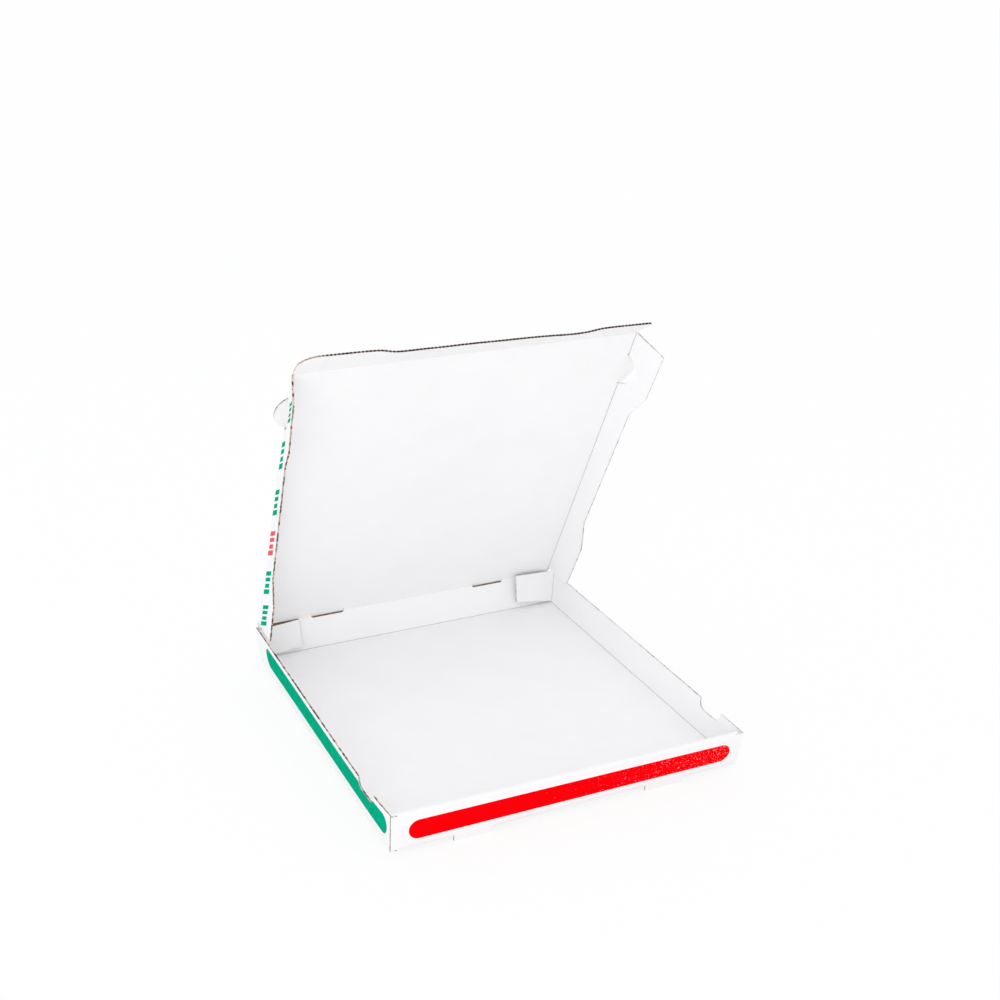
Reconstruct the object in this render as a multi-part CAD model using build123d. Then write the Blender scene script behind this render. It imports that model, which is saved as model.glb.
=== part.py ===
from build123d import *
import os
from math import cos, radians, sin, tan

# A pizza box folded from corrugated board, standing with its lid open.
# Millimetres and degrees. +Z is up, +Y points to the hinge, and the origin is the middle
# of the floor's underside. The lid and its flaps are drawn shut, then swung open.

# Board
board = 1.5
crease_radius = 0.4
layer_gap = 0.3
hinge_gap = 0.7
cut_gap = 0.5
corner_round = 2.0
overrun = 8.0

# Tray
tray_width = 300.0
tray_depth = 334.0
side_height = 31.0
front_height = 31.5

# Outward leans of the walls, and of the loose corner flap's free edge
left_wall_front_angle = 4.5
left_wall_back_angle = 2.0
right_wall_front_angle = 5.5
right_wall_back_angle = 9.5
front_wall_left_angle = 2.0
front_wall_right_angle = 9.0
back_wall_angle = 12.0
loose_corner_angle = 4.0

# Finger notches in the side walls, measured from the front
notch_width = 31.0
notch_depth = 9.0
notch_corner = 7.0
notch_from_front = 43.5

# Corner flaps of the side walls
front_corner_length = 34.0
back_corner_length = 40.0
back_corner_sink = 1.5
back_corner_headroom = 0.6
left_corner_lift = 3.0
right_corner_lift = 6.0
left_corner_stand_off = 0.4
right_corner_stand_off = 1.4

# Tongues of the front wall, and the tabs that lock into the slots beside them
tongue_width = 33.0
tongue_length = 4.2
tongue_spacing = 165.0
slot_depth = 5.4
lock_width = 28.0

# Hinge tongues of the lid
hinge_tongue_width = 31.0
hinge_tongue_length = 2.8
hinge_tongue_corner = 2.2
hinge_tongue_spacing = 163.5

# Lid
lid_angle = 61.3
lid_clearance = 0.9
flap_room = 0.2
tuck_room = 14.4

# Lift tabs of the lid, measured from its front crease
tab_chord = 32.0
tab_reach = 10.5
tab_from_front = 43.0

# Side flaps of the lid
flap_floor_gap = 1.05
flap_waist_depth = 21.0
flap_rear_gap = 5.0
flap_rear_taper = 9.0
flap_rear_length = 61.5
flap_rear_slope = 29.0
flap_front_gap = 2.0
flap_front_taper = 2.5
flap_front_length = 54.5
flap_front_slope = 25.0
left_flap_rear_angle = 94.0
left_flap_front_angle = 75.0
right_flap_rear_angle = 83.5
right_flap_front_angle = 61.0

# Tuck flap of the lid
tuck_depth = 28.0
tuck_end_gap = 0.5
tuck_corner_left = 16.0
tuck_corner_right = 4.0
tuck_left_angle = 26.0
tuck_right_angle = 34.0

# Places that follow from the sizes
outer_radius = crease_radius + board
floor_half_width = tray_width / 2 - outer_radius
floor_half_depth = tray_depth / 2 - outer_radius
layer_pitch = board + layer_gap
layer_low = outer_radius + layer_gap
hinge_z = side_height + lid_clearance + board / 2
hinge_run = (hinge_z - board / 2) / cos(radians(back_wall_angle))
hinge_y = tray_depth / 2 - board / 2 + hinge_run * sin(radians(back_wall_angle))
hinge_axis = Axis((0, hinge_y, hinge_z), (1, 0, 0))
crease_x = tray_width / 2 - board - flap_room
front_inner_y = -tray_depth / 2 + board + 2 * layer_pitch
tuck_crease_y = front_inner_y + tuck_room
lid_length = hinge_y - tuck_crease_y
flap_depth = hinge_z - board - flap_floor_gap
tab_v = lid_length - tab_from_front


def lean_vector(angle):
    """Unit step up a wall that leans outwards: out first, then up."""
    return Vector(sin(radians(angle)), cos(radians(angle)))


def board_profile(points):
    """Section of folded board: runs along the points, with a rounded fold at each corner."""
    runs = [(after - before).normalized() for before, after in zip(points, points[1:])]
    sides = []
    for side in (1, -1):
        normals = [Vector(-run.Y, run.X) * side for run in runs]
        outline = [points[0] + normals[0] * (board / 2)]
        radii = []
        for index, corner in enumerate(points[1:-1]):
            before, after = normals[index], normals[index + 1]
            outline.append(corner + (before + after) * (board / 2 / (1 + before.dot(after))))
            inside = runs[index].cross(runs[index + 1]).Z * side > 0
            radii.append(crease_radius if inside else outer_radius)
        outline.append(points[-1] + normals[-1] * (board / 2))
        sides.append(FilletPolyline(*outline, radius=radii))
    ends = [Line(sides[0] @ end, sides[1] @ end) for end in (0, 1)]
    return make_face(sides + ends).face()


def wall_profile(half_size, height, lean):
    """Floor strip, fold and wall of one side of the tray, seen along that side."""
    start = Vector(half_size - 2 * outer_radius, board / 2)
    corner = Vector(half_size - board / 2, board / 2)
    return [start, corner, corner + lean_vector(lean) * (height - board / 2)]


def board_edge(low, high, across):
    """Cross-section of a board along one of its straight edges."""
    half = across * (board / 2)
    return Face(Wire.make_polygon([low - half, high - half, high + half, low + half]))


def creased_edge(crease, free, across):
    """Cross-section of a flap from its crease, which is eased, to its free edge."""
    half = across * (board / 2)
    back = (crease - free).normalized() * (board / 2)
    corners = [crease + half, crease + half / 2 + back, crease - half / 2 + back, crease - half]
    return Face(Wire.make_polygon([*corners, free - half, free + half]))


def ruled_board(first, second):
    """Flat or slightly twisted board between two straight edges."""
    return loft([first, second], ruled=True)


def front_lean(x):
    """Lean of the front wall, which grows from its left end to its right end."""
    share = x / tray_width + 1 / 2
    return front_wall_left_angle + (front_wall_right_angle - front_wall_left_angle) * share


def side_leans(side):
    """Leans of a side wall at its front end and at the hinge."""
    if side > 0:
        return right_wall_front_angle, right_wall_back_angle
    return left_wall_front_angle, left_wall_back_angle


def flap_folds(side):
    """Folds of a side flap of the lid at the hinge and at its front end."""
    if side > 0:
        return right_flap_rear_angle, right_flap_front_angle
    return left_flap_rear_angle, left_flap_front_angle


def front_edge(x, layer, low, high, slant=0):
    """Upright edge in one layer of the front wall; slant moves its upper end sideways."""
    lean = radians(front_lean(x))
    up = Vector(0, -sin(lean), cos(lean))
    inward = Vector(0, cos(lean), sin(lean))
    foot = Vector(x, board / 2 - tray_depth / 2, board / 2) + inward * (layer * layer_pitch)
    tilt = Vector(slant, 0, 0)
    return board_edge(foot + (up + tilt) * low, foot + (up + tilt) * high, inward)


def back_plane(offset):
    """Plane parallel to the back wall, offset inwards from the middle of its board."""
    lean = radians(back_wall_angle)
    inward = Vector(0, -cos(lean), sin(lean))
    foot = Vector(0, tray_depth / 2 - board / 2, board / 2)
    return Plane(origin=foot + inward * offset, x_dir=(1, 0, 0), z_dir=inward)


def front_plane(x, offset):
    """Plane parallel to the front wall at x, offset inwards from the middle of its board."""
    lean = radians(front_lean(x))
    inward = Vector(0, cos(lean), sin(lean))
    foot = Vector(0, board / 2 - tray_depth / 2, board / 2)
    return Plane(origin=foot + inward * offset, x_dir=(-1, 0, 0), z_dir=inward)


def finger_notch():
    """Round-cornered notch through both side walls, open at the top."""
    shape = Rectangle(notch_width, 2 * notch_depth)
    shape = fillet(shape.vertices(), min(notch_corner, notch_depth))
    middle = (0, notch_from_front - tray_depth / 2, side_height)
    place = Plane(origin=middle, x_dir=(0, 1, 0), z_dir=(1, 0, 0))
    return extrude(place * shape, tray_width / 2 + side_height, both=True)


def corner_stand_off(side):
    """Gap between the back wall and the corner flap that lies inside it."""
    return right_corner_stand_off if side > 0 else left_corner_stand_off


def side_wall(side):
    """One side wall with its fold, trimmed along the front wall and the back wall."""
    ends = []
    for station, lean in zip((-tray_depth / 2, hinge_y), side_leans(side)):
        place = Plane(origin=(0, station, 0), x_dir=(side, 0, 0), z_dir=(0, -side, 0))
        ends.append(place * board_profile(wall_profile(tray_width / 2, side_height, lean)))
    wall = loft(ends, ruled=True)
    wall = split(wall, front_plane(side * tray_width / 2, layer_pitch - board / 2), Keep.TOP)
    return split(wall, back_plane(corner_stand_off(side) + board / 2), Keep.TOP)


def front_corner_flap(side):
    """Flap of a side wall that is shut in between the layers of the front wall."""
    fold_x = side * (tray_width / 2 - board / 2)
    free_x = side * (tray_width / 2 - front_corner_length)
    low = layer_low - board / 2
    high = front_height - layer_pitch - board
    slant = side * tan(radians(side_leans(side)[0]))
    return ruled_board(front_edge(fold_x, 1, low, high, slant), front_edge(free_x, 1, low, high))


def back_corner_flap(side):
    """Flap of a side wall that lies inside the back wall; its free end rides higher."""
    foot = back_plane(corner_stand_off(side) + board)
    up, inward = foot.y_dir, foot.z_dir
    slant = Vector(side * tan(radians(side_leans(side)[1])), 0, 0)
    fold = foot.origin + Vector(side * (tray_width / 2 - board / 2), 0, 0)
    free = foot.origin + Vector(side * (tray_width / 2 - back_corner_length), 0, 0)
    free_lean = radians(loose_corner_angle if side > 0 else back_wall_angle)
    free_up = Vector(0, sin(free_lean), cos(free_lean))
    low = layer_low - board / 2
    fold_high = side_height - outer_radius - back_corner_sink
    free_low = low + (right_corner_lift if side > 0 else left_corner_lift)
    free_high = (hinge_z - board / 2 - back_corner_headroom - free.Z) / free_up.Z
    fold_edge = board_edge(fold + (up + slant) * low, fold + (up + slant) * fold_high, inward)
    free_edge = board_edge(free + free_up * free_low, free + free_up * free_high, inward)
    return ruled_board(fold_edge, free_edge)


def back_wall():
    """Back wall with two windows, which the hinge tongues of the lid were cut from."""
    place = Plane(origin=(0, 0, 0), x_dir=(0, 1, 0), z_dir=(1, 0, 0))
    height = hinge_run - hinge_gap
    profile = place * board_profile(wall_profile(tray_depth / 2, height, back_wall_angle))
    wall = extrude(profile, floor_half_width, both=True)
    window = Rectangle(hinge_tongue_width + 2 * cut_gap, 2 * (hinge_tongue_length + cut_gap))
    window = fillet(window.vertices(), hinge_tongue_corner)
    for side in (-1, 1):
        spot = back_plane(0) * Pos(side * hinge_tongue_spacing / 2, hinge_run)
        wall -= extrude(spot * window, overrun, both=True)
    return wall


def front_wall():
    """Front wall rolled over its rim: outer panel, rim and inner panel."""
    ends = []
    for side in (-1, 1):
        x = side * floor_half_width
        place = Plane(origin=(x, 0, 0), x_dir=(0, -1, 0), z_dir=(-1, 0, 0))
        up = lean_vector(front_lean(x))
        start, foot, top = wall_profile(tray_depth / 2, front_height - board / 2, front_lean(x))
        rim = top + Vector(-up.Y, up.X) * (2 * layer_pitch)
        bottom = rim - up * (front_height - 3 * board / 2 - layer_low + board / 2)
        ends.append(place * board_profile([start, foot, top, rim, bottom]))
    wall = loft(ends, ruled=True)
    low, high = outer_radius, front_height - outer_radius - board / 2
    left_end, right_end = (front_edge(side * tray_width / 2, 0, low, high) for side in (-1, 1))
    return wall + ruled_board(left_end, right_end)


def front_locks():
    """Slots cut from the floor, tongues below the front wall and tabs that lock into the slots."""
    slots, tongues = [], []
    for side in (-1, 1):
        middle = side * tongue_spacing / 2
        slot = Box(tongue_width + 2 * layer_gap, slot_depth + overrun, outer_radius + overrun)
        slot_y = (slot_depth - overrun - tray_depth) / 2
        slots.append(Pos(middle, slot_y, (outer_radius - overrun) / 2) * slot)
        for width, layer, low, high in (
            (tongue_width, 0, -tongue_length - board / 2, 2 * outer_radius),
            (lock_width, 2, layer_gap - board / 2, 2 * layer_low),
        ):
            spots = (middle - width / 2, middle + width / 2)
            tongues.append(ruled_board(*(front_edge(x, layer, low, high) for x in spots)))
    return slots, tongues


def tray():
    """Floor and four walls, folded from one sheet."""
    body = Pos(0, 0, board / 2) * Box(2 * floor_half_width, 2 * floor_half_depth, board)
    body += back_wall() + front_wall()
    slots, tongues = front_locks()
    body = body - slots + tongues
    for side in (-1, 1):
        body += side_wall(side)
        body += front_corner_flap(side)
        body += back_corner_flap(side)
    return body - finger_notch()


def opened(shape):
    """Swing a part of the lid from shut to where the lid stands."""
    return shape.rotate(hinge_axis, -lid_angle)


def lift_tab(gap):
    """Half-moon on the right crease line, its middle at the origin, grown by a gap."""
    half = tab_chord / 2 + gap
    arc = ThreePointArc((-half, 0), (0, tab_reach + gap), (half, 0))
    neck = Polyline((half, 0), (half, -2 * board), (-half, -2 * board), (-half, 0))
    return make_face([arc, neck])


def lid_panel():
    """Top of the lid with its lift tabs, hinge tongues and rounded hinge edge."""
    half_width = crease_x - board / 2 - hinge_gap
    length = lid_length - board / 2 - hinge_gap
    outline = Pos(0, length / 2) * Rectangle(2 * half_width, length)
    tongue = Rectangle(hinge_tongue_width, 2 * hinge_tongue_length)
    tongue = fillet(tongue.vertices(), hinge_tongue_corner)
    for side in (-1, 1):
        outline += Pos(side * hinge_tongue_spacing / 2, 0) * tongue
        outline += Pos(side * crease_x, tab_v) * Rot(0, 0, -90 * side) * lift_tab(0)
    place = Plane(origin=(0, hinge_y, hinge_z), x_dir=(-1, 0, 0), z_dir=(0, 0, 1))
    panel = extrude(place * outline, board / 2, both=True)
    knuckle = Pos(0, hinge_y, hinge_z) * Rot(0, 90, 0) * Cylinder(board / 2, 2 * half_width)
    return opened(panel + knuckle)


def flap_outline():
    """Side flap of the lid along its crease and outwards: tab, waist and tab."""
    rear, front = flap_rear_gap, lid_length - flap_front_gap
    corners = [
        (rear, -board),
        (rear, 0),
        (rear + flap_rear_taper, flap_depth),
        (rear + flap_rear_length, flap_depth),
        (rear + flap_rear_length + flap_rear_slope, flap_waist_depth),
        (front - flap_front_length - flap_front_slope, flap_waist_depth),
        (front - flap_front_length, flap_depth),
        (front - flap_front_taper, flap_depth),
        (front, 0),
        (front, -board),
    ]
    shape = make_face(Polyline(*corners, close=True))
    free = [vertex for vertex in shape.vertices() if vertex.Y > board]
    return fillet(free, corner_round)


def side_flap(side):
    """Side flap of the lid, a little more folded at the hinge end than at the front end."""
    ends = []
    for v, fold in zip((0, lid_length), flap_folds(side)):
        out, down = cos(radians(fold)), sin(radians(fold))
        crease = Vector(side * crease_x, hinge_y - v, hinge_z)
        free = crease + Vector(side * out, 0, -down) * (flap_depth + overrun)
        ends.append(creased_edge(crease, free, Vector(side * down, 0, out)))
    plate = ruled_board(*ends)
    fold = radians(sum(flap_folds(side)) / 2)
    place = Plane(
        origin=(side * crease_x, hinge_y, hinge_z),
        x_dir=(0, -1, 0),
        z_dir=(sin(fold), 0, side * cos(fold)),
    )
    plate &= extrude(place * flap_outline(), flap_depth, both=True)
    plate -= extrude(place * Pos(tab_v, 0) * lift_tab(2 * cut_gap), flap_depth, both=True)
    return opened(plate)


def tuck_flap():
    """Front flap of the lid with round corners, folded a little more at its right end."""
    half_width = crease_x - tuck_end_gap
    ends = []
    for side, fold in ((-1, tuck_left_angle), (1, tuck_right_angle)):
        out, down = cos(radians(fold)), sin(radians(fold))
        crease = Vector(side * half_width, tuck_crease_y, hinge_z)
        free = crease + Vector(0, -out, -down) * (tuck_depth + overrun)
        ends.append(creased_edge(crease, free, Vector(0, -down, out)))
    plate = ruled_board(*ends)
    outline = Pos(0, (tuck_depth - board) / 2) * Rectangle(2 * half_width, tuck_depth + board)
    outline = fillet(outline.vertices().group_by(Axis.Y)[-1].sort_by(Axis.X)[-1], tuck_corner_left)
    outline = fillet(outline.vertices().group_by(Axis.X)[0].sort_by(Axis.Y)[-1], tuck_corner_right)
    fold = radians((tuck_left_angle + tuck_right_angle) / 2)
    middle = (0, tuck_crease_y, hinge_z)
    place = Plane(origin=middle, x_dir=(-1, 0, 0), z_dir=(0, -sin(fold), cos(fold)))
    plate &= extrude(place * outline, tuck_depth, both=True)
    return opened(plate)


nodes = {
    "tray": tray(),
    "lid_panel": lid_panel(),
    "left_lid_flap": side_flap(-1),
    "right_lid_flap": side_flap(1),
    "tuck_flap": tuck_flap(),
}

os.makedirs("parts", exist_ok=True)
for name, shape in nodes.items():
    export_step(shape, f"parts/{name}.step")
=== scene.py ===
"""Looks of a pizza box folded from white-lined corrugated board.

Every board is built as it is made: two thin paper liners with a wavy kraft medium between them,
so that the cut edges show their flutes. Sizes are in millimetres until a mesh is written.
"""
import logging
from dataclasses import dataclass
from enum import Enum, IntEnum

import bpy
import numpy as np
from mathutils import Matrix, Vector


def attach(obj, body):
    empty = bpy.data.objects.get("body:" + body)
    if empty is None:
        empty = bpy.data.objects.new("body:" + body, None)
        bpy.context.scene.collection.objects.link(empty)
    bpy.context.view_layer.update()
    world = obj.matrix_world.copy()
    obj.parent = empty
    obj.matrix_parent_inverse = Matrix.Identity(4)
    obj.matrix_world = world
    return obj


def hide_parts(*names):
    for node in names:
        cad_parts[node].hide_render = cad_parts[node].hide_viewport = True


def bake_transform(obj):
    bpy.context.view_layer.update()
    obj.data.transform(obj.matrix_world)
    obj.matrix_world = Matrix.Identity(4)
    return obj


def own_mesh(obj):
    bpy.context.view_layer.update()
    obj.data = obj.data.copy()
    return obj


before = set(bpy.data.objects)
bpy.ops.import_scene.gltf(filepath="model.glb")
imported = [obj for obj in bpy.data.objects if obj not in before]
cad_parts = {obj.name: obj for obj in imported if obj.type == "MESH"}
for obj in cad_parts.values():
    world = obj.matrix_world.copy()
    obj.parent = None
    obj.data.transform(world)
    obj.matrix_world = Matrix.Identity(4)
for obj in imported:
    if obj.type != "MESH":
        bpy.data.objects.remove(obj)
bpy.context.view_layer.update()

LOG = logging.getLogger("pizza_box")
Array = np.ndarray
Colour = tuple[float, float, float]
Socket = bpy.types.NodeSocket
MM = 0.001

# Small lengths of the board, in millimetres.
STEP_HAIR = 1e-3
SAME_PLACE = 1e-6
OVERLAP = 0.02
PLATE_START = 1.2
FLAP_START = 0.8
HINGE_LAP = 0.2
CREASE_LAP = 0.15
CREASE_THICKNESS = 1.2
LIP_INSET = 0.02
# Thickness of the film of the painted shade strips in the folds.
SHADE_STRIP_FILM = 0.04
INK_TOP = 0.035
INK_FOOT = 0.008

# Distances between stations in millimetres, and how finely curves are drawn.
FLOOR_STEP = 12.0
PLATE_STEP = 8.0
PANEL_STEP = 6.0
CREASE_STEP = 5.0
FLAP_STEP = 4.0
RIM_STEP = 3.0
TUCK_FLUTE_STEP = 0.34
ARC_STEPS = 5
PLACE_DIGITS = 5
FIRST_ANGLE = 0.06
SHARP_ANGLE = 32.0

# Straight steps on each leg of a folded wall, from its foot or from a tongue's end.
SIDE_STEPS = (1, 9)
BACK_STEPS = (1, 7)
FRONT_STEPS = (1, 7, 1, 7)
TONGUE_STEPS = (8, 1, 7)

# Points of the grids, columns along a piece and rows over it: few on plain liners, and many
# where flutes or round cuts have to show.
FLOOR_ROWS = 28
NOTCH_POINTS = 9
CUT_POINTS = 7
RIM_ROWS = 29
FRONT_CORNER_POINTS = 8
BACK_CORNER_COLUMNS = 15
BACK_CORNER_ROWS = 12
BACK_CORNER_FLUTE_ROWS = 90
WINDOW_COLUMNS = 110
TONGUE_COLUMNS = 100
STRIP_ROWS = 4
LINER_COLUMNS = 12
KRAFT_ROWS = 5
LOCK_COLUMNS = 9
LOCK_ROWS = 3
END_COLUMNS = 4
END_FLUTE_COLUMNS = 24
END_ROWS = 36
BAND_END_COLUMNS = 14
BAND_COLUMNS = 90
BAND_ROWS = 9
PLATE_ROWS = 40
TAB_COLUMNS = 41
TAB_ROWS = 46
CREASE_ROWS = 9
HOLE_COLUMNS = 25
REAR_COLUMNS = 8
FRONT_COLUMNS = 5
EASE_COLUMNS = 7
EASE_SHIFTS = 9
TUCK_CORNER_POINTS = 15
BOARD_ROWS = 10
FLAP_FLUTE_ROWS = 88
TUCK_FLUTE_ROWS = 6
BLOCK_COLUMNS = 5
BLOCK_ROWS = 6

# Drift of a cut across the flutes: reach, wave length over two pi, share of the seed.
WANDER = ((0.9, 23.0, 1.0), (0.5, 9.1, 2.0), (0.25, 3.7, 0.0))

# Groups of printed blocks: nearest and farthest distance from the hinge, and depth on the flap.
BLOCK_GROUPS = ((9.0, 39.5, 7.5), (53.0, 85.5, 5.2), (105.0, 137.5, 3.2),
                (156.0, 188.0, 1.4), (213.0, 245.0, 1.4), (279.0, 300.8, 13.2))
# Blocks of a group: from and to which share of its length, and between which depths.
BLOCK_SPANS = ((0.0, 0.21, 0.0, 12.0), (0.28, 0.46, 1.0, 10.5),
               (0.56, 0.73, 0.4, 11.4), (0.81, 1.0, 0.0, 12.0))
BLOCK_SLANT = 1.28
RED_GROUP = 2

# Sockets of a Mix node that mixes colours.
MIX_SHARE, MIX_FIRST, MIX_SECOND, MIX_RESULT = 0, 6, 7, 2
# Mean value of a noise.
NOISE_MIDDLE = 0.5


class Ply(IntEnum):
    """Material slots of a board, in order."""

    OUTER = 0
    INNER = 1
    CUT = 2
    # Slot of the painted shade in folds.
    FOLD = 3
    KRAFT = 4


class Side(Enum):
    """Left and right hand of the box, seen from the front."""

    LEFT = -1
    RIGHT = 1


@dataclass(frozen=True)
class Blank:
    """Sizes of the board and of its folds, in millimetres and degrees."""

    board: float = 1.5
    liner: float = 0.27
    medium: float = 0.16
    flute_pitch: float = 3.1
    crease_radius: float = 0.4
    layer_gap: float = 0.3
    hinge_gap: float = 0.7
    cut_gap: float = 0.5
    tray_width: float = 300.0
    tray_depth: float = 334.0
    side_height: float = 31.0
    front_height: float = 31.5
    left_leans: tuple[float, float] = (4.5, 2.0)
    left_pull: float = 6.0
    pull_reach: float = 27.0
    right_leans: tuple[float, float] = (5.5, 9.5)
    front_lean_left: float = 2.0
    front_lean_right: float = 9.0
    back_lean: float = 12.0
    lid_opening: float = 61.3
    lid_clearance: float = 0.9
    flap_room: float = 0.2
    tuck_room: float = 14.4
    front_band: tuple[float, float] = (-135.4, 141.8)
    print_rise: tuple[float, float] = (6.0, 22.9)
    left_band: tuple[float, float] = (-165.0, 144.0)
    left_rise: tuple[float, float] = (8.0, 25.5)

    @property
    def half(self) -> float:
        """Half the thickness of the board."""
        return self.board / 2

    @property
    def bend(self) -> float:
        """Fold radius at the middle of the board."""
        return self.crease_radius + self.half

    @property
    def outer_radius(self) -> float:
        """Fold radius on the outside of the board."""
        return self.crease_radius + self.board

    @property
    def layer_pitch(self) -> float:
        """Distance between layers of board that lie on each other."""
        return self.board + self.layer_gap

    @property
    def layer_low(self) -> float:
        """Lowest height of a board that stands inside the tray."""
        return self.outer_radius + self.layer_gap

    @property
    def floor_half_width(self) -> float:
        """Half the flat width of the floor."""
        return self.tray_width / 2 - self.outer_radius

    @property
    def floor_half_depth(self) -> float:
        """Half the flat depth of the floor."""
        return self.tray_depth / 2 - self.outer_radius

    @property
    def hinge_z(self) -> float:
        """Height of the lid's fold line."""
        return self.side_height + self.lid_clearance + self.half

    @property
    def hinge_run(self) -> float:
        """Length of the back wall from its foot to the lid's fold line."""
        return (self.hinge_z - self.half) / np.cos(np.radians(self.back_lean))

    @property
    def hinge_y(self) -> float:
        """Depth of the lid's fold line."""
        return self.tray_depth / 2 - self.half + self.hinge_run * np.sin(np.radians(self.back_lean))

    @property
    def crease_x(self) -> float:
        """Half the distance between the creases of the lid's side flaps."""
        return self.tray_width / 2 - self.board - self.flap_room

    @property
    def lid_length(self) -> float:
        """Length of the lid from its hinge to its tuck crease."""
        inner_front = -self.tray_depth / 2 + self.board + 2 * self.layer_pitch
        return self.hinge_y - inner_front - self.tuck_room

    def front_lean(self, x: Array | float) -> Array:
        """Lean of the front wall, which grows evenly from left to right.

        Args:
            x: places along the wall.

        Returns:
            The lean in radians.
        """
        share = np.asarray(x) / self.tray_width + 0.5
        growth = self.front_lean_right - self.front_lean_left
        return np.radians(self.front_lean_left + growth * share)

    def side_lean(self, side: Side, y: Array | float) -> Array:
        """Lean of a side wall in radians.

        Args:
            side: which wall.
            y: places along the wall.

        Returns:
            An even change from the front to the hinge, and on the left wall
            less left_pull exp(-d / pull_reach), d being the distance from the front.
        """
        front, back = self.right_leans if side is Side.RIGHT else self.left_leans
        from_front = np.maximum(np.asarray(y) + self.tray_depth / 2, 0.0)
        share = from_front / (self.hinge_y + self.tray_depth / 2)
        pull = 0.0 if side is Side.RIGHT else self.left_pull * np.exp(-from_front / self.pull_reach)
        return np.radians(front + (back - front) * share - pull)

    def opened(self, points: Array) -> Array:
        """Turn points of the shut lid about the hinge line to where the lid stands.

        Args:
            points: places or directions in the last axis, directions with the hinge at zero.

        Returns:
            The turned points: y' = y cos a + z sin a and z' = z cos a - y sin a about the hinge.
        """
        turn = np.radians(self.lid_opening)
        pivot = np.array([0.0, self.hinge_y, self.hinge_z])
        rel = points - pivot
        y = rel[..., 1] * np.cos(turn) + rel[..., 2] * np.sin(turn)
        z = rel[..., 2] * np.cos(turn) - rel[..., 1] * np.sin(turn)
        return np.stack([rel[..., 0], y, z], axis=-1) + pivot

    def opened_direction(self, directions: Array) -> Array:
        """Turn directions of the shut lid to the standing lid."""
        pivot = np.array([0.0, self.hinge_y, self.hinge_z])
        return self.opened(directions + pivot) - pivot


BLANK = Blank()


@dataclass
class Surface:
    """Middle surface of a board on a grid, with its outward normals and flute coordinate."""

    points: Array
    normals: Array
    across: Array

    def lifted(self, height: Array | float) -> Array:
        """Points moved along the normals by a height."""
        height = np.asarray(height)
        return self.points + self.normals * (height[..., None] if height.ndim else height)

    def swung(self, blank: Blank) -> "Surface":
        """The same surface, turned with the lid to where it stands."""
        return Surface(blank.opened(self.points), blank.opened_direction(self.normals), self.across)


def unit(vectors: Array) -> Array:
    """Vectors divided by their lengths."""
    return vectors / np.linalg.norm(vectors, axis=-1, keepdims=True)


def patch(low_a: Array, high_a: Array, low_b: Array, high_b: Array, u: Array, v: Array) -> Surface:
    """Bilinear board between two straight edges.

    Args:
        low_a, high_a: ends of the first edge.
        low_b, high_b: ends of the second edge.
        u: shares of the way from the first edge to the second.
        v: shares of the way up the edges.

    Returns:
        The surface P = (1 - u) A(v) + u B(v), whose normals are dP/du x dP/dv, with flutes along u.
    """
    uu, vv = np.meshgrid(u, v, indexing="ij")
    uu, vv = uu[..., None], vv[..., None]
    edge_a = low_a + (high_a - low_a) * vv
    edge_b = low_b + (high_b - low_b) * vv
    points = edge_a + (edge_b - edge_a) * uu
    along = edge_b - edge_a
    up = (high_a - low_a) * (1 - uu) + (high_b - low_b) * uu
    across = np.linalg.norm(up, axis=-1) * vv[..., 0]
    return Surface(points, unit(np.cross(along, up)), across)


def folded_path(corners: Array, radius: float,
                steps: tuple[int, ...]) -> tuple[Array, Array, Array]:
    """Fold a strip of board along corner points, all its turns to the left.

    Each leg is straight, and each corner is an arc about a centre one radius to the left of the
    leg's end, from the old direction to the new one. The outward normal is to the right of the
    direction.

    Args:
        corners: corner points as stations x corners x 2.
        radius: bend radius of the middle of the board.
        steps: straight steps on each leg.

    Returns:
        Points, normals and path lengths on a grid of stations x steps.
    """
    legs = np.diff(corners, axis=1)
    dirs = unit(legs)
    cross = dirs[:, :-1, 0] * dirs[:, 1:, 1] - dirs[:, :-1, 1] * dirs[:, 1:, 0]
    turn = np.arctan2(cross, (dirs[:, :-1] * dirs[:, 1:]).sum(-1))
    trim = radius * np.tan(turn / 2)
    points, normals = [], []
    for leg in range(legs.shape[1]):
        d = dirs[:, leg]
        right = np.stack([d[:, 1], -d[:, 0]], axis=-1)
        start, end = corners[:, leg], corners[:, leg + 1]
        if leg > 0:
            start = start + d * trim[:, leg - 1, None]
        if leg < legs.shape[1] - 1:
            end = end - d * trim[:, leg, None]
        t = np.linspace(0, 1, steps[leg] + 1)[None, :, None]
        points.append(start[:, None] + (end - start)[:, None] * t)
        normals.append(np.broadcast_to(right[:, None], points[-1].shape))
        if leg < legs.shape[1] - 1:
            angle = turn[:, leg, None] * np.linspace(0, 1, ARC_STEPS + 1)[None, 1:-1]
            c, s = np.cos(angle), np.sin(angle)
            bent = np.stack([right[:, None, 0] * c - right[:, None, 1] * s,
                             right[:, None, 0] * s + right[:, None, 1] * c], axis=-1)
            points.append((end - right * radius)[:, None] + bent * radius)
            normals.append(bent)
    path = np.concatenate(points, axis=1)
    lengths = np.linalg.norm(np.diff(path, axis=1), axis=-1)
    run = np.concatenate([np.zeros((len(path), 1)), np.cumsum(lengths, axis=1)], axis=1)
    return path, np.concatenate(normals, axis=1), run


def wander(along: Array, seed: float) -> Array:
    """How far a cut drifts across the flutes: a sum of three sines of the way along it."""
    return sum(reach * np.sin(along / wave + turn * seed) for reach, wave, turn in WANDER)


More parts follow.
